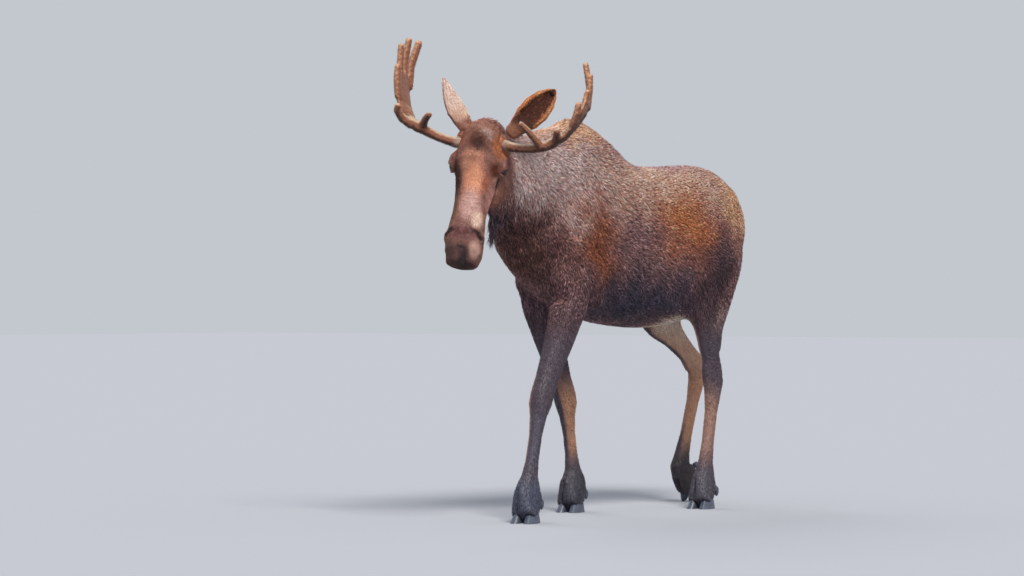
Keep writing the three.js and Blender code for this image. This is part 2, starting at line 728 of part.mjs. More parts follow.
// Legs, upper and lower. Each is taken off below its planes.
const LEG_TOPS = {
  fore_left: [
    { point: [0, 0, 950], normal: [0, 0, 1] },
    { point: [60, 0, 0], normal: [-1, 0, 0] },
    { point: [0, -225, 0], normal: [0, 1, 0] },
  ],
  fore_right: [
    { point: [0, 0, 938], normal: [0, 0, 1] },
    { point: [-84, 0, 0], normal: [1, 0, 0] },
    { point: [0, 10, 938], normal: [0, 1, 0.45] },
  ],
  hind_left: [
    { point: [0, 600, 846], normal: [0, -0.68, 1] },
    { point: [25, 0, 0], normal: [-1, 0, 0] },
    { point: [0, 400, 0], normal: [0, -1, 0] },
  ],
  hind_right: [
    { point: [0, 600, 846], normal: [0, -0.68, 1] },
    { point: [-25, 0, 0], normal: [1, 0, 0] },
    { point: [0, 400, 0], normal: [0, -1, 0] },
  ],
};
for (const [name, planes] of Object.entries(LEG_TOPS)) {
  const [x, y, z] = STRIDE[name].joints[2];
  const knee = { point: [x, y, z - 20], normal: [0, 0, 1] };
  show(`leg_${name}_lower`, part([...planes, knee]), leg);
  show(`leg_${name}_upper`, part(planes), leg);
}

// Head and neck.
const jawCorner = new THREE.Vector3(0, -232, -262).applyMatrix4(head.matrixWorld);
const backOfSkull = new THREE.Vector3(0, 250, -270).transformDirection(head.matrixWorld);
show("head", part([{ point: jawCorner.toArray(), normal: backOfSkull.toArray() }]), face);
show("neck", part([{ point: [0, -455, 1150], normal: [0.12, 1, 0.34] }]), coat);
show("trunk", flesh, coat);

// The origin is the middle of the animal's box, at floor level.
moose.updateMatrixWorld(true);
const box = new THREE.Box3().setFromObject(moose, true);
moose.position.set(-(box.min.x + box.max.x) / 2, -(box.min.y + box.max.y) / 2, -box.min.z);

export default moose;
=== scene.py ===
import bmesh
import bpy
import numpy as np
from mathutils import Matrix, Vector


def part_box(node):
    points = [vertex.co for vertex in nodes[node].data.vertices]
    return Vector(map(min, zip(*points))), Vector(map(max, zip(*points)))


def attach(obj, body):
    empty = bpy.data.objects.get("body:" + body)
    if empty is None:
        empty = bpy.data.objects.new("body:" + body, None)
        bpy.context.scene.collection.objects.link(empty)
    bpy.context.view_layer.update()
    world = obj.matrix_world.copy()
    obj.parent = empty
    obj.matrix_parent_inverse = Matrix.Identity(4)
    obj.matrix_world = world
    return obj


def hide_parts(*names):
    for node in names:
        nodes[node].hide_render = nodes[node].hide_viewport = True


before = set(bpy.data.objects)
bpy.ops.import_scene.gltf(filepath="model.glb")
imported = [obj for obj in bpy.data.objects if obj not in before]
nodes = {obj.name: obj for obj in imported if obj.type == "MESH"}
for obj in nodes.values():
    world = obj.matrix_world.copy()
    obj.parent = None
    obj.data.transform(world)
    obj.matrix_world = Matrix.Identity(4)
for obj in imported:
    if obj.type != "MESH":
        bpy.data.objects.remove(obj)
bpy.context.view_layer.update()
rng = np.random.default_rng(7)

# ---- Hide ---------------------------------------------------------------------------------
# The skin of the whole animal, ears and tail included, as one closed surface of living hide.
# It is the flesh solids joined, smoothed over, drawn in by the depth of the coat and given
# its lids, nostrils, lips, folds and tendons.

FLESH = [n for n in nodes if n.split("_")[0] in ("trunk", "neck", "head", "leg", "tail", "bell", "ear")]
EYES = ["eye_left", "eye_right"]

# The head's frame stands at the poll: X to its left, the face running along -Y, its front up.
POLL = np.array([0.124, -0.882, 1.716])
HEAD_NOD, HEAD_TILT, HEAD_YAW = np.radians([64.0, 6.0, 27.0])
HEAD_AXES = np.array(
    Matrix.Rotation(HEAD_YAW, 3, "Z")
    @ Matrix.Rotation(HEAD_TILT, 3, "Y")
    @ Matrix.Rotation(HEAD_NOD, 3, "X")
)
RACK_AXES = np.array(Matrix.Rotation(HEAD_YAW, 3, "Z") @ Matrix.Rotation(HEAD_TILT, 3, "Y"))
EYE_PLACE = np.array([0.108, -0.182, -0.072])
EYE_RADIUS = 0.019
LID = 0.003

# Root and tip of each ear in the level frame at the poll, and the way its opening faces.
EARS = {
    "left": ((0.116, 0.018, -0.032), (0.286, 0.045, 0.172), (0.28, -1.0, -0.1)),
    "right": ((-0.076, 0.020, -0.026), (-0.216, 0.048, 0.166), (-0.82, 0.5, 0.1)),
}

# Where the joints stand: shoulder or hip, elbow or stifle, knee or hock, fetlock, toe.
LIMBS = {
    "fore_left": [(0.15, -0.3, 1.24), (0.184, -0.362, 0.94), (0.172, -0.556, 0.53),
                  (0.164, -0.624, 0.157), (0.148, -0.676, 0.036)],
    "fore_right": [(-0.15, -0.2, 1.24), (-0.17, -0.128, 0.935), (-0.152, 0.028, 0.508),
                   (-0.146, 0.084, 0.157), (-0.16, 0.032, 0.036)],
    "hind_left": [(0.135, 0.8, 1.33), (0.18, 0.612, 1.03), (0.17, 0.737, 0.603),
                  (0.168, 0.662, 0.157), (0.157, 0.609, 0.036)],
    "hind_right": [(-0.135, 0.8, 1.29), (-0.18, 0.712, 0.94), (-0.172, 1.088, 0.646),
                   (-0.168, 0.926, 0.177), (-0.168, 0.993, 0.063)],
}

# Places on the body are measured from the floor below the hump, whose place in the frame's
# own coordinates follows from the left eye.
low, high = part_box("eye_left")
HUMP = (np.array(low) + np.array(high)) / 2 - (POLL + HEAD_AXES @ EYE_PLACE)


def ramp(low, high, x):
    """0 at low, 1 at high, smooth between."""
    t = np.clip((x - low) / (high - low), 0.0, 1.0)
    return t * t * (3 - 2 * t)


def in_head(p):
    """Points in the head's own frame."""
    return (p - HUMP - POLL) @ HEAD_AXES


def in_rack(p):
    """Points in the level frame at the poll."""
    return (p - HUMP - POLL) @ RACK_AXES


def from_segment(p, a, b):
    """Distance of each point from a segment, and the share of the way along it."""
    a, b = np.array(a), np.array(b)
    along = b - a
    t = np.clip((p - a) @ along / max(along @ along, 1e-12), 0.0, 1.0)
    return np.linalg.norm(p - a - t[:, None] * along, axis=1), t


def from_path(p, path):
    """Distance of each point from a line through several points."""
    return np.min([from_segment(p, a, b)[0] for a, b in zip(path, path[1:])], axis=0)


def head_part(p):
    """1 on the head, 0 on the neck and body."""
    q = in_head(p)
    behind = q[:, 1] * 0.68 - q[:, 2] * 0.73
    near, _ = from_segment(q, (0, 0.0, -0.06), (0, -0.56, -0.1))
    return (1 - ramp(-0.015, 0.04, behind)) * (1 - ramp(0.17, 0.23, near))


def muzzle_part(p):
    """1 on the bare-looking end of the nose and lips."""
    q = in_head(p)
    return head_part(p) * ramp(0.47, 0.56, -q[:, 1])


def ear_part(p):
    """1 on the free part of the ears."""
    r = in_rack(p)
    out = np.zeros(len(p))
    for root, tip, _ in EARS.values():
        d, t = from_segment(r, root, tip)
        out = np.maximum(out, (1 - ramp(0.075, 0.095, d)) * ramp(0.08, 0.2, t))
    return out


def leg_part(p):
    """How far down a leg a point is: 0 in the body, 1 from the forearm or gaskin down."""
    q = p - HUMP
    out = np.zeros(len(p))
    for joints in LIMBS.values():
        for a, b in zip(joints[1:], joints[2:]):
            out = np.maximum(out, 1 - ramp(0.12, 0.17, from_segment(q, a, b)[0]))
    return out * (1 - ramp(0.74, 1.0, q[:, 2]))


def hanging_part(p):
    """1 on the bell under the throat, and on the tail."""
    q = p - HUMP
    bell = from_path(q, [(0.056, -0.716, 1.385), (0.05, -0.728, 1.31), (0.046, -0.734, 1.232)])
    tail = from_path(q, [(0, 1.048, 1.44), (0, 1.082, 1.384), (0, 1.094, 1.328)])
    return 1 - ramp(0.035, 0.07, np.minimum(bell, tail))


def coordinates(mesh):
    """The places of a mesh's vertices."""
    co = np.empty(len(mesh.vertices) * 3, np.float32)
    mesh.vertices.foreach_get("co", co)
    return co.reshape(-1, 3).astype(float)


def place(mesh, co):
    """Moves a mesh's vertices to the given places."""
    mesh.vertices.foreach_set("co", co.astype(np.float32).ravel())
    mesh.update()


def normals_of(mesh):
    """The directions that a mesh's vertices face."""
    n = np.empty(len(mesh.vertices) * 3, np.float32)
    mesh.vertex_normals.foreach_get("vector", n)
    return n.reshape(-1, 3).astype(float)


def edges_of(mesh):
    """The two vertices of each edge."""
    e = np.empty(len(mesh.edges) * 2, np.int32)
    mesh.edges.foreach_get("vertices", e)
    return e.reshape(-1, 2)


def unit(v):
    """Vectors brought to length 1."""
    return v / np.maximum(np.linalg.norm(v, axis=-1, keepdims=True), 1e-9)


def relax(co, edges, weight, rounds, undo=0.0):
    """Moves each vertex towards the middle of its neighbours and, with undo, partly back."""
    count = np.bincount(edges.ravel(), minlength=len(co))[:, None]
    for step in [0.6, -undo] * rounds:
        if step == 0:
            continue
        total = np.stack(
            [
                np.bincount(edges[:, 0], co[edges[:, 1], k], len(co))
                + np.bincount(edges[:, 1], co[edges[:, 0], k], len(co))
                for k in range(3)
            ],
            1,
        )
        co = co + step * weight[:, None] * (total / count - co)
    return co


def with_modifier(mesh, kind, **settings):
    """The mesh after one modifier, as a new mesh."""
    holder = bpy.data.objects.new("holder", mesh)
    bpy.context.scene.collection.objects.link(holder)
    modifier = holder.modifiers.new(kind, kind)
    for name, value in settings.items():
        setattr(modifier, name, value)
    made = bpy.data.meshes.new_from_object(
        holder.evaluated_get(bpy.context.evaluated_depsgraph_get())
    )
    bpy.data.objects.remove(holder)
    return made


def joined(swell_of, longest):
    """CAD nodes as one mesh: each welded closed and swollen a little, so that they meet."""
    whole = bmesh.new()
    for name, swell in swell_of.items():
        piece = bmesh.new()
        piece.from_mesh(nodes[name].data)
        bmesh.ops.remove_doubles(piece, verts=piece.verts, dist=1e-6)
        piece.normal_update()
        for v in piece.verts:
            v.co += v.normal * swell
        spare = bpy.data.meshes.new("spare")
        piece.to_mesh(spare)
        piece.free()
        whole.from_mesh(spare)
        bpy.data.meshes.remove(spare)
    for _ in range(4):
        long_edges = [e for e in whole.edges if e.calc_length() > longest]
        if not long_edges:
            break
        bmesh.ops.subdivide_edges(whole, edges=long_edges, cuts=1)
        bmesh.ops.triangulate(whole, faces=[f for f in whole.faces if len(f.verts) > 3])
    mesh = bpy.data.meshes.new("joined")
    whole.to_mesh(mesh)
    whole.free()
    return mesh


def finer(mesh, wanted, rounds):
    """Splits the faces where wanted(middles) is true, so that small forms have points enough."""
    for _ in range(rounds):
        bm = bmesh.new()
        bm.from_mesh(mesh)
        bm.faces.ensure_lookup_table()
        middles = np.array([f.calc_center_median() for f in bm.faces])
        chosen = np.nonzero(wanted(middles))[0]
        faces = [bm.faces[i] for i in chosen]
        edges = {e for f in faces for e in f.edges}
        bmesh.ops.subdivide_edges(bm, edges=list(edges), cuts=1, use_grid_fill=True)
        bmesh.ops.triangulate(bm, faces=[f for f in bm.faces if len(f.verts) > 3])
        bm.to_mesh(mesh)
        bm.free()
    return mesh


def add_object(name, mesh):
    """A smooth shaded object of a mesh, in the scene."""
    made = bpy.data.objects.new(name, mesh)
    bpy.context.scene.collection.objects.link(made)
    mesh.polygons.foreach_set("use_smooth", np.ones(len(mesh.polygons), bool))
    return made


# The head is remade finer than the body: space is stretched about it, remade, and let back.
FINE_AT = HUMP + POLL + HEAD_AXES @ np.array([0.0, -0.2, -0.03])
FINE_REACH = (0.42, 0.95)
EXTRA_STRETCH = 2.1
reach = np.linspace(0, 4, 4001)
stretch = 1 + EXTRA_STRETCH * (1 - ramp(*FINE_REACH, reach))
steps = (stretch[1:] + stretch[:-1]) / 2 * (reach[1] - reach[0])
stretched = np.concatenate([[0], np.cumsum(steps)])


def rescale(co, given, wanted):
    """Points moved along their lines from the head, from the given reaches to the wanted ones."""
    r = np.linalg.norm(co - FINE_AT, axis=1)
    return FINE_AT + (co - FINE_AT) * (np.interp(r, given, wanted) / np.maximum(r, 1e-9))[:, None]


FLESH_SWELL = 0.0006
LONGEST_EDGE = 0.03
VOXEL = 0.0088
mesh = joined({**{n: FLESH_SWELL for n in FLESH}, **{n: LID for n in EYES}}, LONGEST_EDGE)
place(mesh, rescale(coordinates(mesh), reach, stretched))
mesh = with_modifier(mesh, "REMESH", mode="VOXEL", voxel_size=VOXEL)
co = rescale(coordinates(mesh), stretched, reach)

# Where the solids meet the hide is smoothed over. Lower legs, ears, lids, bell and tail stay
# firm, the head almost so, and the elbows and stifles are smoothed most.
near_eye = np.zeros(len(co))
for side in (1, -1):
    gap = np.linalg.norm(in_head(co) - EYE_PLACE * [side, 1, 1], axis=1)
    near_eye = np.maximum(near_eye, 1 - ramp(0.026, 0.045, gap))
lower_leg = leg_part(co) * (1 - ramp(0.62, 0.86, (co - HUMP)[:, 2]))
firm = np.maximum(np.maximum(lower_leg, ear_part(co)), np.maximum(near_eye, hanging_part(co)))
firm = np.maximum(firm, 0.9 * head_part(co))
co = relax(co, edges_of(mesh), 1 - firm, 60)
height = (co - HUMP)[:, 2]
elbows = ramp(0.72, 0.86, height) * (1 - ramp(1.06, 1.22, height)) * (1 - firm)
co = relax(co, edges_of(mesh), elbows, 110)
# A last smoothing without shrinking takes off the marks of the voxels.
co = relax(co, edges_of(mesh), (1 - 0.9 * ear_part(co)) * (1 - near_eye), 30, undo=0.625)
place(mesh, co)

COAT_DEPTH = 0.009


def coat_depth(p):
    """How far the hide lies inside the coat's outline."""
    depth = COAT_DEPTH * (1 - 0.8 * leg_part(p)) * (1 - 0.9 * head_part(p))
    return depth * (1 - 0.95 * ear_part(p)) * (1 - 0.6 * hanging_part(p))


co -= normals_of(mesh) * (coat_depth(co) * (1 - near_eye))[:, None]
place(mesh, co)
HIDE_TRIANGLES = 140000
mesh = with_modifier(mesh, "DECIMATE", ratio=min(1.0, HIDE_TRIANGLES / (2 * len(mesh.polygons))))
mesh.name = "hide"

# Each eye's own axes in the head's frame: along its opening, towards the upper lid, and out.
EYE_AXES = {}
for side in (1, -1):
    out = unit(np.array([side * 0.86, -0.45, 0.4]))
    along = unit(np.array([side * 0.3, 0.62, -0.62]))
    along = unit(along - out * (along @ out))
    EYE_AXES[side] = np.stack([along, unit(np.cross(out, along)) * side, out])

# The slit of the left nostril, and the gland before the left eye.
NOSTRILS = [(0.056, -0.492, -0.036), (0.068, -0.5, -0.052), (0.076, -0.516, -0.072)]
GLAND = [(0.1, -0.226, -0.083), (0.094, -0.25, -0.088)]


def mirrored(path, side):
    """A path on the left as it is, or with side -1 on the right."""
    return [(side * x, y, z) for x, y, z in path]


def fine_wanted(middles):
    """Which faces lie at the eyes, nostrils and glands."""
    q = in_head(middles)
    wanted = np.zeros(len(q), bool)
    for side in (1, -1):
        wanted |= np.linalg.norm(q - EYE_PLACE * [side, 1, 1], axis=1) < 0.031
        wanted |= from_path(q, mirrored(NOSTRILS, side)) < 0.017
        wanted |= from_path(q, mirrored(GLAND, side)) < 0.01
    return wanted


mesh = finer(mesh, fine_wanted, 2)
co = coordinates(mesh)

# Raised and hollow forms of the body, from the hump: a path, the half width of the form, and
# its height. Paths on the left are repeated on the right.
BODY_FORMS = [
    ([(0.16, -0.12, 1.66), (0.2, -0.2, 1.42), (0.21, -0.3, 1.2)], 0.05, 0.006),  # blade
    ([(0.21, -0.02, 1.5), (0.25, 0.0, 1.25), (0.24, -0.03, 1.02)], 0.06, -0.009),  # behind it
    ([(0.19, -0.1, 1.12), (0.2, -0.25, 1.04)], 0.06, 0.008),  # triceps
    ([(0.17, -0.46, 1.22)], 0.08, 0.01),  # point of the shoulder
    ([(0.11, -0.56, 1.5), (0.16, -0.42, 1.3)], 0.05, -0.006),  # neck into shoulder
    ([(0.17, 0.56, 1.54)], 0.07, 0.008),  # hip bone
    ([(0.2, 0.5, 1.5), (0.25, 0.55, 1.28), (0.24, 0.53, 1.08)], 0.06, -0.008),  # flank
    ([(0.25, 0.7, 1.25), (0.22, 0.66, 1.08)], 0.09, 0.006),  # thigh
    ([(0.18, 0.95, 1.4), (0.21, 0.88, 1.12)], 0.035, -0.006),  # hamstring groove
    ([(0.1, 0.98, 1.46)], 0.05, 0.006),  # pin bone
    ([(0.27, 0.2, 1.1), (0.25, 0.5, 1.0)], 0.08, 0.004),  # belly
]
RIBS = 7
for i in range(RIBS):
    y = 0.06 + 0.062 * i
    BODY_FORMS.append(
        ([(0.23, y, 1.42), (0.265, y + 0.03, 1.2), (0.24, y + 0.08, 1.0)], 0.018, 0.003)
    )
# Loose skin at the breast, on one side only.
FOLD_HALF_WIDTH = 0.02
FOLD_DEPTH = 0.015
BREAST_FOLDS = [
    [(0.0, -0.545, 1.14), (0.05, -0.53, 1.06), (0.11, -0.47, 1.02)],
    [(-0.04, -0.53, 1.1), (0.01, -0.52, 1.02), (0.08, -0.46, 0.98)],
]

# Forms of the face, in the head's frame, as above.
FACE_FORMS = [
    (NOSTRILS[1:], 0.0095, -0.014),
    (NOSTRILS[:2], 0.008, -0.007),
    ([(0.045, -0.49, -0.04), (0.07, -0.5, -0.07), (0.088, -0.53, -0.09), (0.08, -0.56, -0.11)],
     0.012, 0.0035),  # nostril wing
    (GLAND, 0.009, -0.007),
    ([(0.104, -0.215, -0.105), (0.088, -0.3, -0.1), (0.078, -0.36, -0.09)], 0.016, 0.003),
    ([(0.08, -0.3, -0.13), (0.074, -0.4, -0.13)], 0.03, -0.004),  # cheek hollow
    ([(0.05, -0.6, -0.168), (0.052, -0.52, -0.166), (0.058, -0.44, -0.158), (0.066, -0.385, -0.145)],
     0.008, -0.006),  # mouth
    ([(0.058, -0.6, -0.14), (0.07, -0.55, -0.15), (0.07, -0.5, -0.15)], 0.02, 0.005),  # lip
    ([(0.105, -0.14, -0.05), (0.112, -0.175, -0.048), (0.106, -0.21, -0.06)], 0.014, 0.006),  # brow
    ([(0.1, -0.19, -0.03), (0.096, -0.225, -0.045)], 0.03, -0.009),  # before the eye
    ([(0.07, -0.05, 0.0), (0.09, -0.09, -0.02)], 0.03, 0.004),  # over the antler seat
]
FACE_MIDDLE_FORMS = [
    ([(-0.06, -0.502, -0.058), (-0.03, -0.511, -0.032), (0.03, -0.513, -0.033), (0.06, -0.508, -0.058)],
     0.02, -0.005),  # fold across the nose
    ([(-0.045, -0.48, -0.036), (0.045, -0.482, -0.036)], 0.018, 0.003),
    ([(0, -0.535, -0.035), (0, -0.58, -0.065), (0, -0.605, -0.1)], 0.026, -0.005),  # between lips
    ([(0, -0.06, 0.0), (0, -0.11, 0.008)], 0.03, 0.004),  # whorl
    ([(0, -0.15, 0.0), (0, -0.22, -0.02)], 0.028, -0.003),
]


def laid(points, path):
    """A path, each of its places moved to the nearest of the points."""
    return [points[np.argmin(((points - spot) ** 2).sum(1))] for spot in path]


def form(q, path, half_width, height):
    """A ridge or groove of the hide, along the path laid on its nearest points."""
    line = laid(q, path)
    d = from_path(q, line * 2 if len(line) == 1 else line)
    return height * np.clip(1 - (d / half_width) ** 2, 0, 1) ** 2


n = normals_of(mesh)
q = co - HUMP
h = in_head(co)
rise = np.zeros(len(co))
for path, half_width, height in BODY_FORMS:
    for side in (1, -1):
        rise += form(q, mirrored(path, side), half_width, height)
for path in BREAST_FOLDS:
    rise += form(q, path, FOLD_HALF_WIDTH, -FOLD_DEPTH)
on_head = head_part(co)
for path, half_width, height in FACE_FORMS:
    for side in (1, -1):
        rise += on_head * form(h, mirrored(path, side), half_width, height)
for path, half_width, height in FACE_MIDDLE_FORMS:
    rise += on_head * form(h, path, half_width, height)
# Thick fur fills out the roots of the ears.
EAR_FILL = 0.005
for root, tip, _ in EARS.values():
    base = np.array(root) + 0.1 * (np.array(tip) - root)
    rise += EAR_FILL * (1 - ramp(0.02, 0.07, np.linalg.norm(in_rack(co) - base, axis=1)))
# Tendons stand off the cannon bones, and the toes part below the fetlock: each groove has a
# half width and a depth.
TENDON = (0.012, -0.0035)
TOE_GROOVE = (0.017, -0.02)
for joints in LIMBS.values():
    knee, fetlock, toe = (np.array(j) for j in joints[2:])
    back = unit(np.cross(fetlock - knee, [1, 0, 0]))
    back = back if back[1] > 0 else -back
    for side in (-0.03, 0.03):
        shift = np.array([side, 0, 0]) + back * 0.01
        path = [knee + (fetlock - knee) * s + shift for s in (0.3, 0.85)]
        rise += form(q, path, *TENDON)
    front = unit(np.cross(toe - fetlock, [1, 0, 0]))
    front = front if front[1] < 0 else -front
    for depth, s in ((0.1, (0.35, 0.8, 1.25)), (-0.12, (0.8, 1.1))):
        path = [fetlock + front * depth + (toe - fetlock) * share for share in s]
        rise += form(q, path, *TOE_GROOVE)
co += n * rise[:, None]

# Lids: the hide is carried over each eye, and drawn behind the ball inside an almond opening,
# whose half length and height are shares of the ball's radius.
LID_HALF_LENGTH = 0.93
LID_HALF_HEIGHT = 0.68
LID_REACH = 0.034
lid_edge = np.zeros(len(co))
lower_lid = np.zeros(len(co))
for side in (1, -1):
    middle = EYE_PLACE * [side, 1, 1]
    away = in_head(co) - middle
    r = np.linalg.norm(away, axis=1)
    a, b, c = (unit(away) @ EYE_AXES[side].T).T
    height = LID_HALF_HEIGHT * (1 - (a / LID_HALF_LENGTH) ** 2)
    inside = (height - np.abs(b)) * (c > 0) - (c <= 0)
    near = r < LID_REACH
    open_share = ramp(-0.02, 0.06, inside) * near
    wanted = np.maximum(r, EYE_RADIUS + LID) * (1 - open_share) + 0.6 * EYE_RADIUS * open_share
    co += ((unit(away) * (wanted - r)[:, None]) @ HEAD_AXES.T) * near[:, None]
    rim = np.exp(-((inside + 0.05) / 0.1) ** 2) * near
    lid_edge = np.maximum(lid_edge, np.maximum(rim * (1 - 0.5 * (b < 0)), open_share))
    lower_lid = np.maximum(lower_lid, np.exp(-((inside + 0.28) / 0.14) ** 2) * (b < 0) * near)
place(mesh, co)

# The colours below follow the slits and the bare nose as they now lie on the hide.
h = in_head(co)
NOSTRILS, GLAND = laid(h, NOSTRILS), laid(h, GLAND)
BARE_NOSE = laid(h, [(0.0, -0.56, -0.05), (0.004, -0.59, -0.075), (0.004, -0.61, -0.11)])


def linear(code):
    """An sRGB hex colour as linear light."""
    c = np.array([int(code[i:i + 2], 16) for i in (1, 3, 5)]) / 255
    return np.where(c <= 0.04045, c / 12.92, ((c + 0.055) / 1.055) ** 2.4)


# Markings of the body, from the hump, alike on both sides, and of the face, in the head's
# frame: middle, half extent, and the colour of the coat seen from a few steps away. Some of
# them are painted light, shade or sheen, as said beside them. Of the face's patches those far
# out to the left lie on the right too, but for the unlike temples.
SHOULDER_TO_RUMP = "#6d5557"
FACE = "#8a6258"
LEGS = "#4f4550"
BESIDE_THE_FACE = 0.06
TEMPLE_BACK = -0.1
BODY_MARKINGS_AND_PAINTED_LIGHT = [
    ((0.14, 0.3, 1.5), (0.2, 0.8, 0.17), "#bd9585"),  # upper side
    ((0.0, 0.5, 1.6), (0.12, 0.7, 0.07), "#866e74"),  # line of the back: dark hair with a painted sky sheen
    ((0.15, -0.4, 1.56), (0.2, 0.35, 0.22), "#ceaca8"),  # side of the hump
    ((0.05, -0.2, 1.72), (0.12, 0.3, 0.09), "#e2a180"),  # crest of the hump
    ((0.18, -0.28, 1.38), (0.14, 0.24, 0.16), "#c29a94"),  # shoulder
    ((0.15, -0.72, 1.52), (0.22, 0.18, 0.13), "#e0b6b0"),  # neck
    ((0.1, -0.6, 1.25), (0.3, 0.18, 0.14), "#45302e"),  # throat: dark hair and painted shade under the neck
    ((0.0, -0.52, 1.12), (0.22, 0.18, 0.12), "#513c34"),  # breast
    ((0.2, -0.38, 1.16), (0.12, 0.16, 0.12), "#604747"),  # arm
    ((0.03, -0.34, 0.98), (0.2, 0.2, 0.1), "#6d5253"),  # between the forelegs
    ((0.22, -0.19, 1.24), (0.13, 0.14, 0.28), "#74452f"),  # behind the arm
    ((0.2, 0.12, 0.96), (0.35, 0.55, 0.16), "#2f303f"),  # belly: dark hair with a painted bluish sheen
    ((0.24, 0.45, 1.32), (0.16, 0.24, 0.2), "#a3633f"),  # flank
    ((0.18, 0.88, 1.4), (0.2, 0.15, 0.16), "#c48f70"),  # rump
    ((0.25, 0.66, 1.08), (0.2, 0.22, 0.2), "#3b3037"),  # thigh
    ((0.2, 0.76, 0.86), (0.14, 0.12, 0.1), "#8f7a77"),  # stifle
]
FACE_MARKINGS_AND_PAINTED_LIGHT = [
    ((0, -0.03, 0.04), (0.11, 0.07, 0.1), "#8d6354"),  # crown
    ((0.035, -0.07, 0.05), (0.035, 0.035, 0.08), "#a98e88"),  # light lock of the crown
    ((0.09, TEMPLE_BACK, -0.01), (0.05, 0.06, 0.08), "#aa6a47"),  # temples
    ((-0.09, TEMPLE_BACK, -0.01), (0.05, 0.06, 0.08), "#94583c"),
    ((0.0, -0.21, 0.06), (0.065, 0.07, 0.08), "#c28a72"),  # brow
    ((0.01, -0.115, 0.07), (0.05, 0.065, 0.08), "#5c3424"),  # whorl
    ((0.012, -0.125, 0.075), (0.03, 0.035, 0.05), "#3a1a0e"),  # its dark middle
    ((0.015, -0.29, 0.02), (0.05, 0.1, 0.07), "#eca07f"),  # bridge of the nose: pale hair and painted light on its front plane
    ((0.012, -0.38, -0.01), (0.052, 0.08, 0.07), "#c99f97"),  # lower bridge
    ((0.05, -0.435, -0.04), (0.026, 0.05, 0.05), "#eac6b4"),  # painted highlight above the left nostril
    ((0.085, -0.205, -0.02), (0.03, 0.04, 0.05), "#5d2f1d"),  # painted shadow before the eye
    ((0.06, -0.27, -0.02), (0.02, 0.05, 0.04), "#a06450"),  # below the eye
    ((0.09, -0.3, -0.08), (0.04, 0.1, 0.06), "#ab7e75"),  # cheek
    ((0.085, -0.28, -0.17), (0.06, 0.14, 0.06), "#926555"),  # jaw
    ((-0.072, -0.26, -0.03), (0.036, 0.12, 0.08), "#3c2319"),  # painted shade on the right side of the face
    ((-0.064, -0.4, -0.03), (0.025, 0.09, 0.07), "#70543f"),  # and of the nose
    ((0, -0.505, -0.03), (0.12, 0.035, 0.06), "#734c4a"),  # painted shade in the fold across the nose
    ((0, -0.58, -0.1), (0.12, 0.06, 0.09), "#6f504a"),  # lips
    ((0.06, -0.56, -0.07), (0.028, 0.045, 0.05), "#cfa698"),  # left of the upper lip
    ((-0.05, -0.575, -0.08), (0.028, 0.05, 0.06), "#5c4440"),  # right of it
    ((0, -0.62, -0.12), (0.12, 0.022, 0.06), "#402826"),  # edge of the lip
    ((0, -0.52, -0.2), (0.09, 0.14, 0.04), "#352b30"),  # chin
]
LEG_MARKINGS = [
    ((0.1, -0.62, 0.36), (0.3, 0.2, 0.16), "#54505e"),  # cannon of the forelegs
    ((0.1, -0.66, 0.1), (0.3, 0.2, 0.12), "#454a5c"),  # pastern, left foreleg
    ((0.1, 0.0, 0.1), (0.3, 0.2, 0.12), "#403f4a"),  # pastern, right foreleg
    ((0.1, 0.65, 0.4), (0.3, 0.16, 0.2), "#94746a"),  # cannon, left hind leg
    ((0.1, 1.0, 0.5), (0.3, 0.16, 0.2), "#b08670"),  # cannon, right hind leg
    ((0.1, 0.9, 0.14), (0.3, 0.16, 0.12), "#3f3a3f"),  # pastern, right hind leg
    ((0.1, 0.62, 0.1), (0.3, 0.1, 0.1), "#4c4a56"),  # pastern, left hind leg
]


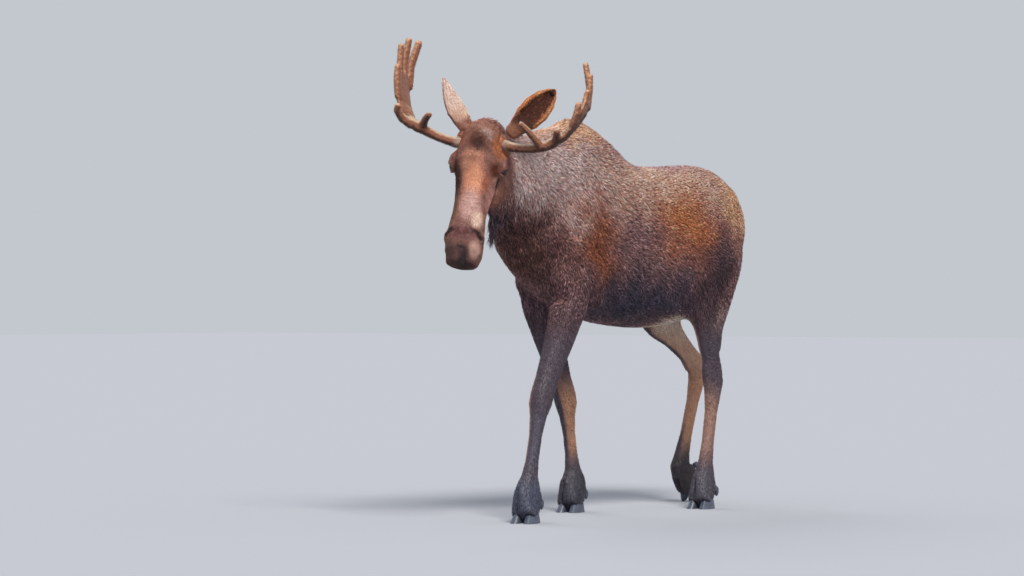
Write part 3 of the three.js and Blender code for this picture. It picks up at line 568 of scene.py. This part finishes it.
def markings_and_painted_light(p, n):
    """The colour of the coat at points of the hide with the given normals, with painted light, shade
    and sheen on some parts.
    """
    q = p - HUMP
    across = np.abs(q[:, 0])
    both = np.stack([across, q[:, 1], q[:, 2]], 1)
    h = in_head(p)
    face, leg, ear = head_part(p), leg_part(p), ear_part(p)
    shown = np.repeat(linear(SHOULDER_TO_RUMP)[None], len(p), 0)

    def lay(mask, code):
        shown[:] += (linear(code) - shown) * np.clip(mask, 0, 1)[:, None]

    def patch(at, middle, extent, inner=0.45, outer=1.2):
        return 1 - ramp(inner, outer, np.linalg.norm((at - middle) / np.array(extent), axis=1))

    wobble = 0.03 * np.sin(p[:, [1, 2, 0]] * [31, 37, 29] + 2 * np.sin(p[:, [2, 0, 1]] * [17, 13, 19]))
    for middle, extent, code in BODY_MARKINGS_AND_PAINTED_LIGHT:
        lay(patch(both + wobble, middle, extent, 0.15, 1.45) * 0.95, code)
    # Brown behind the crown.
    lay(patch(h, (0, 0.04, 0.02), (0.13, 0.08, 0.12), 0.3, 1.2), "#7b5547")
    lay(leg, LEGS)
    for middle, extent, code in LEG_MARKINGS:
        lay(patch(both, middle, extent) * leg, code)
    # Pale hair inside the legs and between the thighs.
    inner = ramp(0.1, 0.7, -n[:, 0] * np.sign(q[:, 0])) * leg
    lay(inner * ramp(0.2, 0.34, q[:, 2]) * (1 - ramp(0.5, 0.68, q[:, 2])) * 0.95, "#a97f66")
    behind = ramp(0.3, 0.5, q[:, 1]) * (1 - ramp(0.175, 0.2, across))
    groin = ramp(0.55, 0.7, q[:, 2]) * (1 - ramp(0.9, 0.98, q[:, 2])) * behind
    lay(groin * np.maximum(inner, 1 - ramp(0.12, 0.16, across)), "#cca088")
    lay(groin * ramp(0.72, 0.86, q[:, 2]) * (1 - ramp(0.13, 0.17, across)) * 0.8, "#e8cdb6")
    lay(face, FACE)
    for middle, extent, code in FACE_MARKINGS_AND_PAINTED_LIGHT:
        lay(patch(h, middle, extent) * face * 0.95, code)
        if middle[0] > BESIDE_THE_FACE and middle[1] != TEMPLE_BACK:
            lay(patch(h, np.array(middle) * [-1, 1, 1], extent) * face * 0.8, code)
    # Dark glands and bare nose, and painted shade in the nostril slits.
    gland = np.minimum(from_path(h, GLAND), from_path(h, mirrored(GLAND, -1)))
    lay((1 - ramp(0.006, 0.02, gland)) * face, "#351c16")
    hole = np.minimum(from_path(h, NOSTRILS), from_path(h, mirrored(NOSTRILS, -1)))
    lay((1 - ramp(0.004, 0.018, hole)) * face * 0.8, "#24130f")
    bare = from_path(h, BARE_NOSE) + 0.3 * wobble[:, 0]
    lay((1 - ramp(0.006, 0.03, bare)) * face * 0.95, "#1f1213")
    # Bell, then tail.
    lay(hanging_part(p) * (q[:, 1] < 0), "#3c3846")
    lay(hanging_part(p) * (q[:, 1] > 0), "#4a3832")
    # Ears: on the left, painted shade inside and a painted orange glow of light through the rim; on the
    # right, the pale back, with painted shade where its opening faces.
    r = in_rack(p)
    for name, (root, tip, opening) in EARS.items():
        d, t = from_segment(r, root, tip)
        here = ear * (1 - ramp(0.075, 0.095, d))
        axis = unit(np.array(tip) - root)
        front = unit(np.array(opening) - axis * (np.array(opening) @ axis))
        sideways = np.abs((r - root) @ np.cross(axis, front))
        facing = n @ RACK_AXES @ front
        rim = ramp(0.6, 0.85, sideways / np.interp(t, [0, 0.3, 0.6, 1], [0.05, 0.064, 0.06, 0.02]))
        if name == "left":
            lay(here, "#86543a")
            # Painted shade inside the opening, and a painted orange glow of light through the rim.
            lay(here * ramp(-0.1, 0.3, facing) * (1 - rim), "#3a2118")
            lay(here * rim, "#a46a48")
        else:
            lay(here, "#bd9e92")
            lay(here * (1 - ramp(0.15, 0.5, t)) * 0.6, "#b8927e")
            # Painted shade where the opening faces.
            lay(here * ramp(-0.1, 0.3, facing), "#7c5648")
        base = np.linalg.norm(r - np.array(root) - 0.02 * front, axis=1)
        lay((1 - ramp(0.01, 0.07, base)) * 0.7, "#93654a")
    return shown


def paint(mesh, name, colour):
    """Gives a mesh's vertices their colours."""
    layer = mesh.color_attributes.new(name, "FLOAT_COLOR", "POINT")
    rgba = np.concatenate([colour, np.ones((len(colour), 1))], 1).astype(np.float32)
    layer.data.foreach_set("color", rgba.ravel())


def node(tree, kind, settings=None, links=None):
    """Adds a shader node with its settings, and joins its inputs."""
    made = tree.nodes.new(kind)
    for key, value in (settings or {}).items():
        if key in made.inputs:
            made.inputs[key].default_value = value
        else:
            setattr(made, key, value)
    for key, socket in (links or {}).items():
        tree.links.new(socket, made.inputs[key])
    return made


def material(name):
    """A new material, and its emptied node tree."""
    made = bpy.data.materials.new(name)
    made.use_nodes = True
    made.node_tree.nodes.clear()
    return made, made.node_tree


def shade(tree, settings, links):
    """Ends a material in one Principled surface."""
    surface = node(tree, "ShaderNodeBsdfPrincipled", settings, links)
    out = tree.nodes.new("ShaderNodeOutputMaterial")
    tree.links.new(surface.outputs[0], out.inputs["Surface"])


# Moose hide under the coat: strands of short hair as fine bumps a little over 2 mm apart,
# dull all over, and damp enough to shine on the nose and the rims of the lids.
STRANDS_TO_THE_METRE = 420.0
hide_material, tree = material("moose_hide")
colour = node(tree, "ShaderNodeVertexColor", {"layer_name": "coat_colour"})
damp = node(tree, "ShaderNodeAttribute", {"attribute_name": "damp"})
place_at = node(tree, "ShaderNodeTexCoord")
strands = node(tree, "ShaderNodeTexNoise",
               {"Scale": STRANDS_TO_THE_METRE, "Detail": 3.0, "Roughness": 0.6},
               {"Vector": place_at.outputs["Object"]})
tone = node(tree, "ShaderNodeMapRange",
            {"From Min": 0.3, "From Max": 0.7, "To Min": 0.7, "To Max": 1.3},
            {"Value": strands.outputs["Fac"]})
speckled = node(tree, "ShaderNodeVectorMath", {"operation": "SCALE"},
                {0: colour.outputs[0], "Scale": tone.outputs[0]})
bump = node(tree, "ShaderNodeBump", {"Strength": 0.45, "Distance": 0.0015},
            {"Height": strands.outputs["Fac"]})
rough = node(tree, "ShaderNodeMapRange", {"To Min": 0.55, "To Max": 0.22},
             {"Value": damp.outputs["Fac"]})
shade(tree, {"Specular IOR Level": 0.4},
      {"Base Color": speckled.outputs[0], "Normal": bump.outputs[0], "Roughness": rough.outputs[0]})

hide = add_object("hide", mesh)
mesh.materials.clear()
mesh.materials.append(hide_material)
co = coordinates(mesh)
SKIN_SHADE = 0.85
LOWER_LID = "#c08f84"
skin_colour = markings_and_painted_light(co, normals_of(mesh)) * SKIN_SHADE
skin_colour += (linear(LOWER_LID) - skin_colour) * 0.8 * lower_lid[:, None]
skin_colour *= (1 - 0.88 * lid_edge)[:, None]
paint(mesh, "coat_colour", skin_colour)
wet = (1 - ramp(0.01, 0.03, from_path(in_head(co), BARE_NOSE))) * head_part(co)
wet = np.maximum(wet, np.maximum(lid_edge, 0.3 * muzzle_part(co)))
mesh.attributes.new("damp", "FLOAT", "POINT").data.foreach_set("value", wet.astype(np.float32))
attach(hide, "root")
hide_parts(*FLESH)

# ---- Coat ---------------------------------------------------------------------------------
# Guard hair and wool in overlapping tufts that follow the lie of the coat, back from the
# whorl of the forehead and down the legs. Each tuft is a thin closed lock of mesh, rooted in
# the hide and coloured with it.

# The lie of the coat: stretches of the body and the way the hair points there.
LIE = [
    ((0, -0.15, 1.75), (0, 0.3, 1.55), (0, 1, -0.15)),
    ((0, 0.3, 1.55), (0, 0.9, 1.55), (0, 1, -0.2)),
    ((0.24, 0.0, 1.3), (0.25, 0.7, 1.2), (0, 0.8, -0.6)),
    ((-0.24, 0.0, 1.3), (-0.25, 0.7, 1.2), (0, 0.8, -0.6)),
    ((0.22, -0.2, 1.5), (0.2, -0.3, 1.1), (0, 0.45, -0.9)),
    ((-0.22, -0.1, 1.5), (-0.2, -0.2, 1.1), (0, 0.45, -0.9)),
    ((0, 0.0, 0.85), (0, 0.6, 0.85), (0, 1, -0.1)),
    ((0, 1.0, 1.4), (0, 1.0, 1.1), (0, 0.1, -1)),
    ((0.15, 0.85, 1.2), (0.15, 0.75, 0.9), (0, 0.2, -1)),
    ((-0.15, 0.85, 1.2), (-0.15, 0.85, 0.9), (0, 0.2, -1)),
    ((0.08, -0.75, 1.65), (0.1, -0.3, 1.5), (0, 0.75, -0.5)),
    ((0.1, -0.75, 1.4), (0.05, -0.45, 1.2), (0, 0.4, -0.9)),
    ((-0.02, -0.75, 1.55), (-0.1, -0.4, 1.3), (0, 0.6, -0.7)),
    ((0.056, -0.716, 1.385), (0.046, -0.734, 1.232), (-0.1, -0.15, -1)),
    ((0, 1.05, 1.45), (0, 1.09, 1.3), (0, 0.15, -1)),
]
for joints in LIMBS.values():
    for a, b in zip(joints[1:-1], joints[2:]):
        LIE.append((a, b, np.array(b) - np.array(a)))
WHORL = np.array([0.005, -0.075, 0.02])  # of the forehead, in the head's frame


def lie(p, n):
    """The way the coat points at each root, along the hide."""
    q = p - HUMP
    total = np.zeros_like(p)
    for a, b, way in LIE:
        d, _ = from_segment(q, a, b)
        total += unit(np.array(way, float)) / (d[:, None] + 0.02) ** 4
    total = unit(total)
    way = unit(in_head(p) - WHORL) @ HEAD_AXES.T
    m = head_part(p)[:, None]
    total = total * (1 - m) + way * m
    for root, tip, _ in EARS.values():
        d, _ = from_segment(in_rack(p), root, tip)
        e = ((1 - ramp(0.075, 0.095, d)) * ear_part(p))[:, None]
        up = RACK_AXES @ (np.array(tip) - np.array(root))
        total = total * (1 - e) + unit(up) * e
    total -= n * (total * n).sum(1, keepdims=True)
    return unit(total)


FUR_LENGTH = 0.023
FUR_WIDTH = 0.0042
MORE_ON_MANE = 0.008
MORE_ON_BELLY = 0.008
EAR_HAIR = 0.011
MORE_ON_BELL = 0.03
NARROWEST = 0.0013


def size_of_tuft(p):
    """Length, width and lift of the tufts at each root, and how many lie over each other."""
    q = p - HUMP
    leg, face, ear = leg_part(p), head_part(p), ear_part(p)
    muzzle, hanging = muzzle_part(p), hanging_part(p)
    mane = ramp(1.1, 1.5, q[:, 2]) * (1 - ramp(-0.2, 0.3, q[:, 1])) * (1 - face)
    belly = (1 - ramp(0.86, 0.95, q[:, 2])) * (1 - leg)
    length = FUR_LENGTH + MORE_ON_MANE * mane + MORE_ON_BELLY * belly
    length = length * (1 - 0.5 * leg) * (1 - 0.62 * face)
    length = length * (1 - 0.45 * muzzle) * (1 - ear) + EAR_HAIR * ear + MORE_ON_BELL * hanging
    width = (FUR_WIDTH * (1 - 0.45 * leg) * (1 - 0.55 * face)) * (1 - 0.3 * muzzle)
    width = width - 0.0015 * ear - 0.0018 * hanging
    lift = coat_depth(p) * 0.8 + 0.0007
    layers = 1.7 - 1.2 * leg - 0.75 * face - 0.3 * muzzle + 0.2 * ear + 1.6 * hanging
    return length, np.maximum(width, NARROWEST), lift, layers


def scatter(mesh, per_face):
    """Evenly spread roots, about per_face of them on each triangle: places and normals."""
    mesh.calc_loop_triangles()
    corners = np.empty(len(mesh.loop_triangles) * 3, np.int32)
    mesh.loop_triangles.foreach_get("vertices", corners)
    corners = corners.reshape(-1, 3)
    co, n = coordinates(mesh), normals_of(mesh)
    a, b, c = co[corners[:, 0]], co[corners[:, 1]], co[corners[:, 2]]
    area = np.linalg.norm(np.cross(b - a, c - a), axis=1) / 2
    steps = np.cumsum(per_face((a + b + c) / 3, area))
    marks = np.arange(int(steps[-1])) + rng.random(int(steps[-1]))
    face_of = np.clip(np.searchsorted(steps, marks), 0, len(steps) - 1)
    u, v = rng.random(len(marks)), rng.random(len(marks))
    flip = u + v > 1
    u[flip], v[flip] = 1 - u[flip], 1 - v[flip]
    w = np.stack([1 - u - v, u, v], 1)[:, :, None]
    return (w * co[corners[face_of]]).sum(1), unit((w * n[corners[face_of]]).sum(1))


# A lock's five points are its root, its left, right and ridge at the middle, and its tip.
KITE = np.array([[0, 3, 1], [0, 2, 3], [1, 3, 4], [2, 4, 3], [0, 1, 2], [1, 4, 2]])
ROOT_DEPTH = 0.0015
BAKE_PATCH = 0.003


def tufts(name, p, n, way, length, width, lift, hair, tips, unwrapped, surface):
    """One mesh of closed locks: a root in the hide, a ridged middle and a point."""
    k = len(p)
    side = np.cross(way, n)
    bend = rng.normal(0, 0.13, k) * length
    middle = p + way * (0.38 * length)[:, None] + n * (0.6 * lift)[:, None]
    half = side * (width / 2)[:, None]
    vertices = np.stack(
        [
            p - n * ROOT_DEPTH,
            middle - half,
            middle + half,
            middle + n * (0.3 * width)[:, None],
            p + way * length[:, None] + n * lift[:, None] + side * bend[:, None],
        ],
        1,
    )
    faces = (KITE[None] + 5 * np.arange(k)[:, None, None]).reshape(-1, 3)
    made = bpy.data.meshes.new(name)
    made.vertices.add(5 * k)
    made.vertices.foreach_set("co", vertices.astype(np.float32).ravel())
    made.loops.add(len(faces) * 3)
    made.loops.foreach_set("vertex_index", faces.astype(np.int32).ravel())
    made.polygons.add(len(faces))
    made.polygons.foreach_set("loop_start", np.arange(0, len(faces) * 3, 3, dtype=np.int32))
    made.update(calc_edges=True)
    share = np.array([0.0, 0.2, 0.2, 0.3, 1.0])[None, :, None]
    dark = np.array([0.75, 0.95, 0.95, 1.0, 1.0])[None, :, None]
    shown = (hair[:, None] * (1 - share) + tips[:, None] * share) * dark
    paint(made, "coat_colour", shown.reshape(-1, 3))
    spread = np.array([[0, -0.5], [-0.5, 0], [0.5, 0], [0, 0.1], [0, 0.5]]) * BAKE_PATCH
    uv = (unwrapped[:, None] + spread[None]).reshape(-1, 2)
    layer = made.uv_layers.new(name="OFBake")
    layer.data.foreach_set("uv", uv[faces.ravel()].astype(np.float32).ravel())
    made.materials.append(surface)
    piece = add_object(name, made)
    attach(piece, "root")
    return piece


SHEETS = 0.24  # the hide's unwrap is laid out at this share of its real size


def unwrap(p):
    """Each point's place on a flat sheet of hide: along its limb and around it, limb by limb."""
    q = p - HUMP
    h = in_head(p)
    uv = np.stack(
        [
            0.3 + SHEETS * 0.3 * np.arctan2(q[:, 0], q[:, 2] - 1.2),
            0.36 + SHEETS * q[:, 1],
        ],
        1,
    )
    head_uv = np.stack(
        [
            0.76 + SHEETS * 0.12 * np.arctan2(h[:, 0], h[:, 2] + 0.09),
            0.1 - SHEETS * h[:, 1],
        ],
        1,
    )
    uv = np.where(head_part(p)[:, None] > 0.5, head_uv, uv)
    for i, joints in enumerate(LIMBS.values()):
        d = np.min([from_segment(q, a, b)[0] for a, b in zip(joints[1:], joints[2:])], axis=0)
        at = np.interp(q[:, 2], [joints[4][2], joints[3][2], joints[2][2], joints[1][2]], [3, 2, 1, 0])
        low = np.clip(at.astype(int), 0, 2)
        bones = np.array(joints[1:])
        axis = bones[low] + (bones[low + 1] - bones[low]) * (at - low)[:, None]
        around = np.arctan2(q[:, 0] - axis[:, 0], axis[:, 1] - q[:, 1])
        leg_uv = np.stack([0.12 + 0.2 * i + SHEETS * 0.06 * around, 0.75 + SHEETS * q[:, 2]], 1)
        uv = np.where(((leg_part(p) > 0.5) & (d < 0.15))[:, None], leg_uv, uv)
    return uv


# Moose hair: brown to black shafts with paler, golden tips, dry and only faintly glossy.
hair_material, tree = material("moose_hair")
colour = node(tree, "ShaderNodeVertexColor", {"layer_name": "coat_colour"})
shade(tree, {"Roughness": 0.6, "Specular IOR Level": 0.25}, {"Base Color": colour.outputs[0]})

share_shown = 1.0


def coat_count(middle, area):
    """How many tufts cover each face."""
    length, width, _, layers = size_of_tuft(middle)
    return share_shown * layers * area / (0.5 * length * width)


roots, root_normals = scatter(mesh, coat_count)
open_eye = np.zeros(len(roots), bool)
for side in (1, -1):
    away = in_head(roots) - EYE_PLACE * [side, 1, 1]
    a, b, c = (unit(away) @ EYE_AXES[side].T).T
    gap = LID_HALF_HEIGHT * (1 - (a / LID_HALF_LENGTH) ** 2) - np.abs(b)
    open_eye |= (np.linalg.norm(away, axis=1) < 0.028) & (c > 0) & (gap > -0.12)
h = in_head(roots)
holes = np.minimum(from_path(h, NOSTRILS), from_path(h, mirrored(NOSTRILS, -1)))
bare = (holes < 0.008) | (from_path(h, BARE_NOSE) < 0.006 + 0.01 * rng.random(len(roots)))
kept = ~(open_eye | (bare & (head_part(roots) > 0.5)))
roots, root_normals = roots[kept], root_normals[kept]

length, width, lift, _ = size_of_tuft(roots)
length *= rng.uniform(0.7, 1.3, len(roots))
lift *= rng.uniform(0.6, 1.4, len(roots))
# Locks lean together in clumps a few centimetres across.
clumps = np.sin(roots @ [61, 83, 47]) * np.sin(roots @ [-57, 39, 71])
clumps = (clumps + 0.5 * np.sin(roots @ [29, -37, 23]))[:, None]
ways = lie(roots, root_normals) + rng.normal(0, 0.1, roots.shape)
ways += 0.22 * clumps * np.cross(ways, root_normals)
ways = unit(ways - root_normals * (ways * root_normals).sum(1, keepdims=True))
shown = markings_and_painted_light(roots + rng.normal(0, 0.4, roots.shape) * length[:, None], root_normals)
contrast = 1 - 0.5 * np.maximum(head_part(roots), leg_part(roots))[:, None]
speckle = rng.normal(0, 1, (len(roots), 1))
warm = contrast * np.array([[0.14, -0.05, -0.12]])
shown = shown * np.exp(0.16 * clumps)
hair = shown * np.exp(contrast * (0.4 * speckle - 0.35) + 0.6 * warm)
tips = np.clip(shown * np.exp(contrast * (0.55 * speckle + 0.8) + warm), 0, 0.9)
unwrapped = unwrap(roots)

# The coat is cut into pieces: head, legs, and bands along the body, each ending at a place
# behind the hump, and then into parts of no more locks than a piece may have.
is_head = (head_part(roots) > 0.5) | (ear_part(roots) > 0.1)
is_leg = (leg_part(roots) > 0.5) & ~is_head
groups = {"head": is_head, "legs": is_leg}
along = (roots - HUMP)[:, 1]
BANDS = {"neck": -0.4, "shoulders": -0.12, "withers": 0.12, "ribs": 0.36, "flanks": 0.6,
         "haunches": 0.82, "rump": np.inf}
last = -np.inf
for name, end in BANDS.items():
    groups[name] = (along > last) & (along <= end) & ~is_head & ~is_leg
    last = end
LOCKS_TO_A_PIECE = 33000
for name, chosen in groups.items():
    some = np.nonzero(chosen)[0]
    parts = int(np.ceil(len(some) / LOCKS_TO_A_PIECE))
    for i in range(parts):
        pick = some[i::parts]
        label = f"coat_{name}" + (f"_{i + 1}" if parts > 1 else "")
        piece = tufts(label, roots[pick], root_normals[pick], ways[pick], length[pick], width[pick],
                      lift[pick], hair[pick], tips[pick], unwrapped[pick], hair_material)

# ---- Antlers ------------------------------------------------------------------------------
# Growing antlers in velvet: bone under a soft skin with short dense hair, one smooth piece a
# side, seated on the skull behind the eyes.

# Velvet: living skin with hair too short to part, dull, and paler where it turns to the light.
velvet_material, tree = material("antler_velvet")
colour = node(tree, "ShaderNodeVertexColor", {"layer_name": "coat_colour"})
shade(tree, {"Roughness": 0.8, "Specular IOR Level": 0.2, "Sheen Weight": 0.35, "Sheen Roughness": 0.4},
      {"Base Color": colour.outputs[0]})


def velvet_colour_and_light(p, n):
    """Brown velvet, with painted light along the top of the beams and painted shade below and in front.
    """
    r = in_rack(p)
    up = n[:, 2]
    shown = np.repeat(linear("#845440")[None], len(p), 0)
    lit = n @ RACK_AXES @ unit(np.array([-0.2, -0.5, 0.8]))
    for mask, code in (
        (ramp(0.1, 0.7, -up) * 0.85, "#341a10"),
        (ramp(0.2, 0.9, lit) * ramp(0.0, 0.1, r[:, 2]) * 0.75, "#e0aa84"),
        (ramp(0.3, 0.9, up) * (1 - ramp(0.02, 0.12, r[:, 2])) * 0.75, "#dcbfa4"),
        ((1 - ramp(0.09, 0.13, np.abs(r[:, 0]))) * 0.7, "#a8988e"),
    ):
        shown += (linear(code) - shown) * mask[:, None]
    return shown


ANTLER_SWELL = 0.0005
ANTLER_VOXEL = 0.0032
ANTLER_TRIANGLES = 30000
VELVET_DEPTH = 0.0014
LUMPS = 0.0012
FUZZ_LENGTH = (0.003, 0.0055)
FUZZ_WIDTH = 0.0014
FUZZ_LIFT = 0.0002
FUZZ_AREA = 0.006 * 0.0018  # of velvet to each hair
FUZZ_SHEET = 0.2  # the fuzz's map is laid out at this share of its real size
for side in ("left", "right"):
    names = [n for n in nodes if n.startswith(f"antler_{side}")]
    mesh = joined({n: ANTLER_SWELL for n in names}, 0.05)
    mesh = with_modifier(mesh, "REMESH", mode="VOXEL", voxel_size=ANTLER_VOXEL)
    co = relax(coordinates(mesh), edges_of(mesh), np.ones(len(mesh.vertices)), 14)
    place(mesh, co)
    lumps = np.sin(co @ [210, 90, 60]) * np.sin(co @ [-70, 190, 110]) * np.sin(co @ [60, -80, 240])
    place(mesh, co + normals_of(mesh) * (VELVET_DEPTH + LUMPS * lumps)[:, None])
    mesh = with_modifier(mesh, "DECIMATE", ratio=min(1.0, ANTLER_TRIANGLES / (2 * len(mesh.polygons))))
    mesh.name = f"velvet_{side}"
    paint(mesh, "coat_colour", velvet_colour_and_light(coordinates(mesh), normals_of(mesh)))
    mesh.materials.clear()
    mesh.materials.append(velvet_material)
    antler = add_object(f"velvet_{side}", mesh)
    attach(antler, "root")
    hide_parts(*names)
    # Fuzz all over. Its OFBake map is the rack seen square on, so front and back share a place.
    p, n = scatter(mesh, lambda middle, area: share_shown * area / FUZZ_AREA)
    way = rng.normal(0, 0.5, p.shape) + n * 1.1 + [0, 0, 0.3]
    tone = velvet_colour_and_light(p, n)
    flat = 0.5 + FUZZ_SHEET * in_rack(p)[:, [0, 2]]
    k = len(p)
    # The fuzz's tips are painted pale, as backlit hair catching the light.
    fuzz = tufts(f"fuzz_{side}", p, unit(np.cross(unit(way), [0.3, 0.9, 0.1])), unit(way),
                 rng.uniform(*FUZZ_LENGTH, k), np.full(k, FUZZ_WIDTH), np.full(k, FUZZ_LIFT),
                 tone, np.minimum(tone * 2.3 + [0.07, 0.045, 0.03], 0.9), flat, velvet_material)

# ---- Eyes ---------------------------------------------------------------------------------
# Dark brown eyeballs with a wide level pupil, wet under the lids, and black lashes above.

# The wet cornea over a dark iris: smooth as glass, so it mirrors the light as a small spot.
eye_material, tree = material("wet_eye")
colour = node(tree, "ShaderNodeVertexColor", {"layer_name": "eye_colour"})
shade(tree, {"Roughness": 0.06}, {"Base Color": colour.outputs[0]})
CORNEA_RISE = 0.0009
PUPIL_HALF_SIZES = (0.36, 0.2)  # as shares of the ball's radius, like the iris
IRIS_RADIUS = 0.59
LASHES = 24
LASH_LENGTH = (0.006, 0.011)
LASH_WIDTH = 0.0008
for name, side in (("left", 1), ("right", -1)):
    middle = HUMP + POLL + HEAD_AXES @ (EYE_PLACE * [side, 1, 1])
    bm = bmesh.new()
    bmesh.ops.create_icosphere(bm, subdivisions=5, radius=EYE_RADIUS, matrix=Matrix.Translation(middle))
    mesh = bpy.data.meshes.new(f"eyeball_{name}")
    bm.to_mesh(mesh)
    bm.free()
    away = unit(coordinates(mesh) - middle)
    a, b, c = (away @ HEAD_AXES @ EYE_AXES[side].T).T
    cornea = ramp(0.78, 0.9, c)
    place(mesh, middle + away * (EYE_RADIUS + CORNEA_RISE * cornea)[:, None])
    pupil = 1 - ramp(0.9, 1.15, np.hypot(a / PUPIL_HALF_SIZES[0], b / PUPIL_HALF_SIZES[1]))
    iris = 1 - ramp(IRIS_RADIUS - 0.03, IRIS_RADIUS + 0.03, np.hypot(a, b))
    shown = np.repeat(linear("#1e1514")[None], len(away), 0)
    shown += (linear("#391a0d") - shown) * iris[:, None]
    shown += (linear("#050405") - shown) * pupil[:, None]
    paint(mesh, "eye_colour", shown)
    mesh.materials.append(eye_material)
    eye = add_object(f"eyeball_{name}", mesh)
    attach(eye, "root")
    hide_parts(f"eye_{name}")
    # Lashes along the upper lid.
    a = np.linspace(-0.7, 0.72, LASHES)
    b = LID_HALF_HEIGHT * (1 - (a / LID_HALF_LENGTH) ** 2) + 0.03
    c = np.sqrt(1 - a * a - b * b)
    away = np.stack([a, b, c], 1) @ EYE_AXES[side] @ HEAD_AXES.T
    p = middle + away * (EYE_RADIUS + 0.0025)
    upward = EYE_AXES[side][1] @ HEAD_AXES.T
    way = unit(away + 0.15 * upward + rng.normal(0, 0.1, away.shape))
    k = len(p)
    black = np.repeat(linear("#0c0808")[None], k, 0)
    lashes = tufts(f"lashes_{name}", p, unit(upward - way * (way @ upward)[:, None]), way,
                   rng.uniform(*LASH_LENGTH, k), np.full(k, LASH_WIDTH), np.full(k, -0.002),
                   black, black, unwrap(p), hair_material)

# ---- Hooves -------------------------------------------------------------------------------
# Black horn: two claws and two dewclaws on each foot, ringed by growth and worn smooth.

# Hoof horn: black to slate grey in growth rings about 4 mm apart, the slate grey partly a painted
# bluish sheen, with a worn half gloss.
RINGS_TO_THE_METRE = 260.0
horn_material, tree = material("hoof_horn")
place_at = node(tree, "ShaderNodeTexCoord")
rings = node(tree, "ShaderNodeMapping", {"Scale": (30.0, 30.0, RINGS_TO_THE_METRE)},
             {"Vector": place_at.outputs["Object"]})
growth = node(tree, "ShaderNodeTexNoise", {"Scale": 1.0, "Detail": 2.0}, {"Vector": rings.outputs[0]})
horn_colour = node(tree, "ShaderNodeMix", {"data_type": "RGBA"}, {"Factor": growth.outputs["Fac"]})
horn_colour.inputs[6].default_value = (*linear("#22252d"), 1)
horn_colour.inputs[7].default_value = (*linear("#525a6e"), 1)
bump = node(tree, "ShaderNodeBump", {"Strength": 0.4, "Distance": 0.0008},
            {"Height": growth.outputs["Fac"]})
shade(tree, {"Roughness": 0.38}, {"Base Color": horn_colour.outputs[2], "Normal": bump.outputs[0]})
HORN_SWELL = 0.0002
HORN_VOXEL = 0.0022
SOLE = 0.0012
for name in [n for n in nodes if n.startswith(("hoof", "dewclaw"))]:
    mesh = joined({name: HORN_SWELL}, 0.05)
    mesh = with_modifier(mesh, "REMESH", mode="VOXEL", voxel_size=HORN_VOXEL)
    co = coordinates(mesh)
    co = relax(co, edges_of(mesh), np.where(co[:, 2] < SOLE, 0.0, 1.0), 6)
    co[:, 2] = np.maximum(co[:, 2], 0.0)
    place(mesh, co)
    mesh.name = f"{name}_horn"
    mesh.materials.clear()
    mesh.materials.append(horn_material)
    piece = add_object(f"{name}_horn", mesh)
    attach(piece, "root")
    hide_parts(name)

# ---- Studio -------------------------------------------------------------------------------
# A pale floor and soft light from above, and the camera level at breast height.

bm = bmesh.new()
bmesh.ops.create_grid(bm, x_segments=1, y_segments=1, size=60)
mesh = bpy.data.meshes.new("floor")
bm.to_mesh(mesh)
bm.free()
floor = add_object("floor", mesh)
# Painted floor, matt, and about as light as the backdrop.
FLOOR_COLOUR = (0.35, 0.366, 0.408, 1)
floor_material, tree = material("studio_floor")
shade(tree, {"Roughness": 1.0, "Specular IOR Level": 0.0, "Base Color": FLOOR_COLOUR}, {})
mesh.materials.append(floor_material)

world = bpy.data.worlds.new("studio")
world.use_nodes = True
backdrop = world.node_tree.nodes["Background"]
backdrop.inputs["Color"].default_value = (0.88, 0.93, 1.0, 1)
backdrop.inputs["Strength"].default_value = 0.62
bpy.context.scene.world = world
bpy.context.scene.view_settings.view_transform = "Standard"


def sun(name, turn, rise, strength, spread, colour):
    """A distant lamp, at an angle round the animal and another above the floor, in degrees."""
    turn, rise = np.radians([turn, rise])
    light = bpy.data.lights.new(name, "SUN")
    light.energy = strength
    light.angle = np.radians(spread)
    light.color = colour
    made = bpy.data.objects.new(name, light)
    at = Vector((np.sin(turn) * np.cos(rise), -np.cos(turn) * np.cos(rise), np.sin(rise)))
    made.rotation_euler = at.to_track_quat("Z", "Y").to_euler()
    bpy.context.scene.collection.objects.link(made)


sun("key", 56, 47, 3.9, 20, (1.0, 0.95, 0.88))
sun("rim", 250, 45, 0.8, 30, (1.0, 0.97, 0.92))

VIEW_TURN = np.radians(38.0)
VIEW_DISTANCE = 15.0
VIEW_HEIGHT = 0.963
away = np.array([np.sin(VIEW_TURN), -np.cos(VIEW_TURN), 0.0])
camera_data = bpy.data.cameras.new("camera")
camera_data.lens = 117.07
camera_data.sensor_width = 36.0
PICTURE_WIDTH = 1024
camera_data.shift_x = -76 / PICTURE_WIDTH
camera_data.shift_y = 12 / PICTURE_WIDTH
camera = bpy.data.objects.new("camera", camera_data)
camera.location = Vector(HUMP + away * VIEW_DISTANCE + np.array([0, 0, VIEW_HEIGHT]))
camera.rotation_euler = Vector(-away).to_track_quat("-Z", "Y").to_euler()
bpy.context.scene.collection.objects.link(camera)
bpy.context.scene.camera = camera
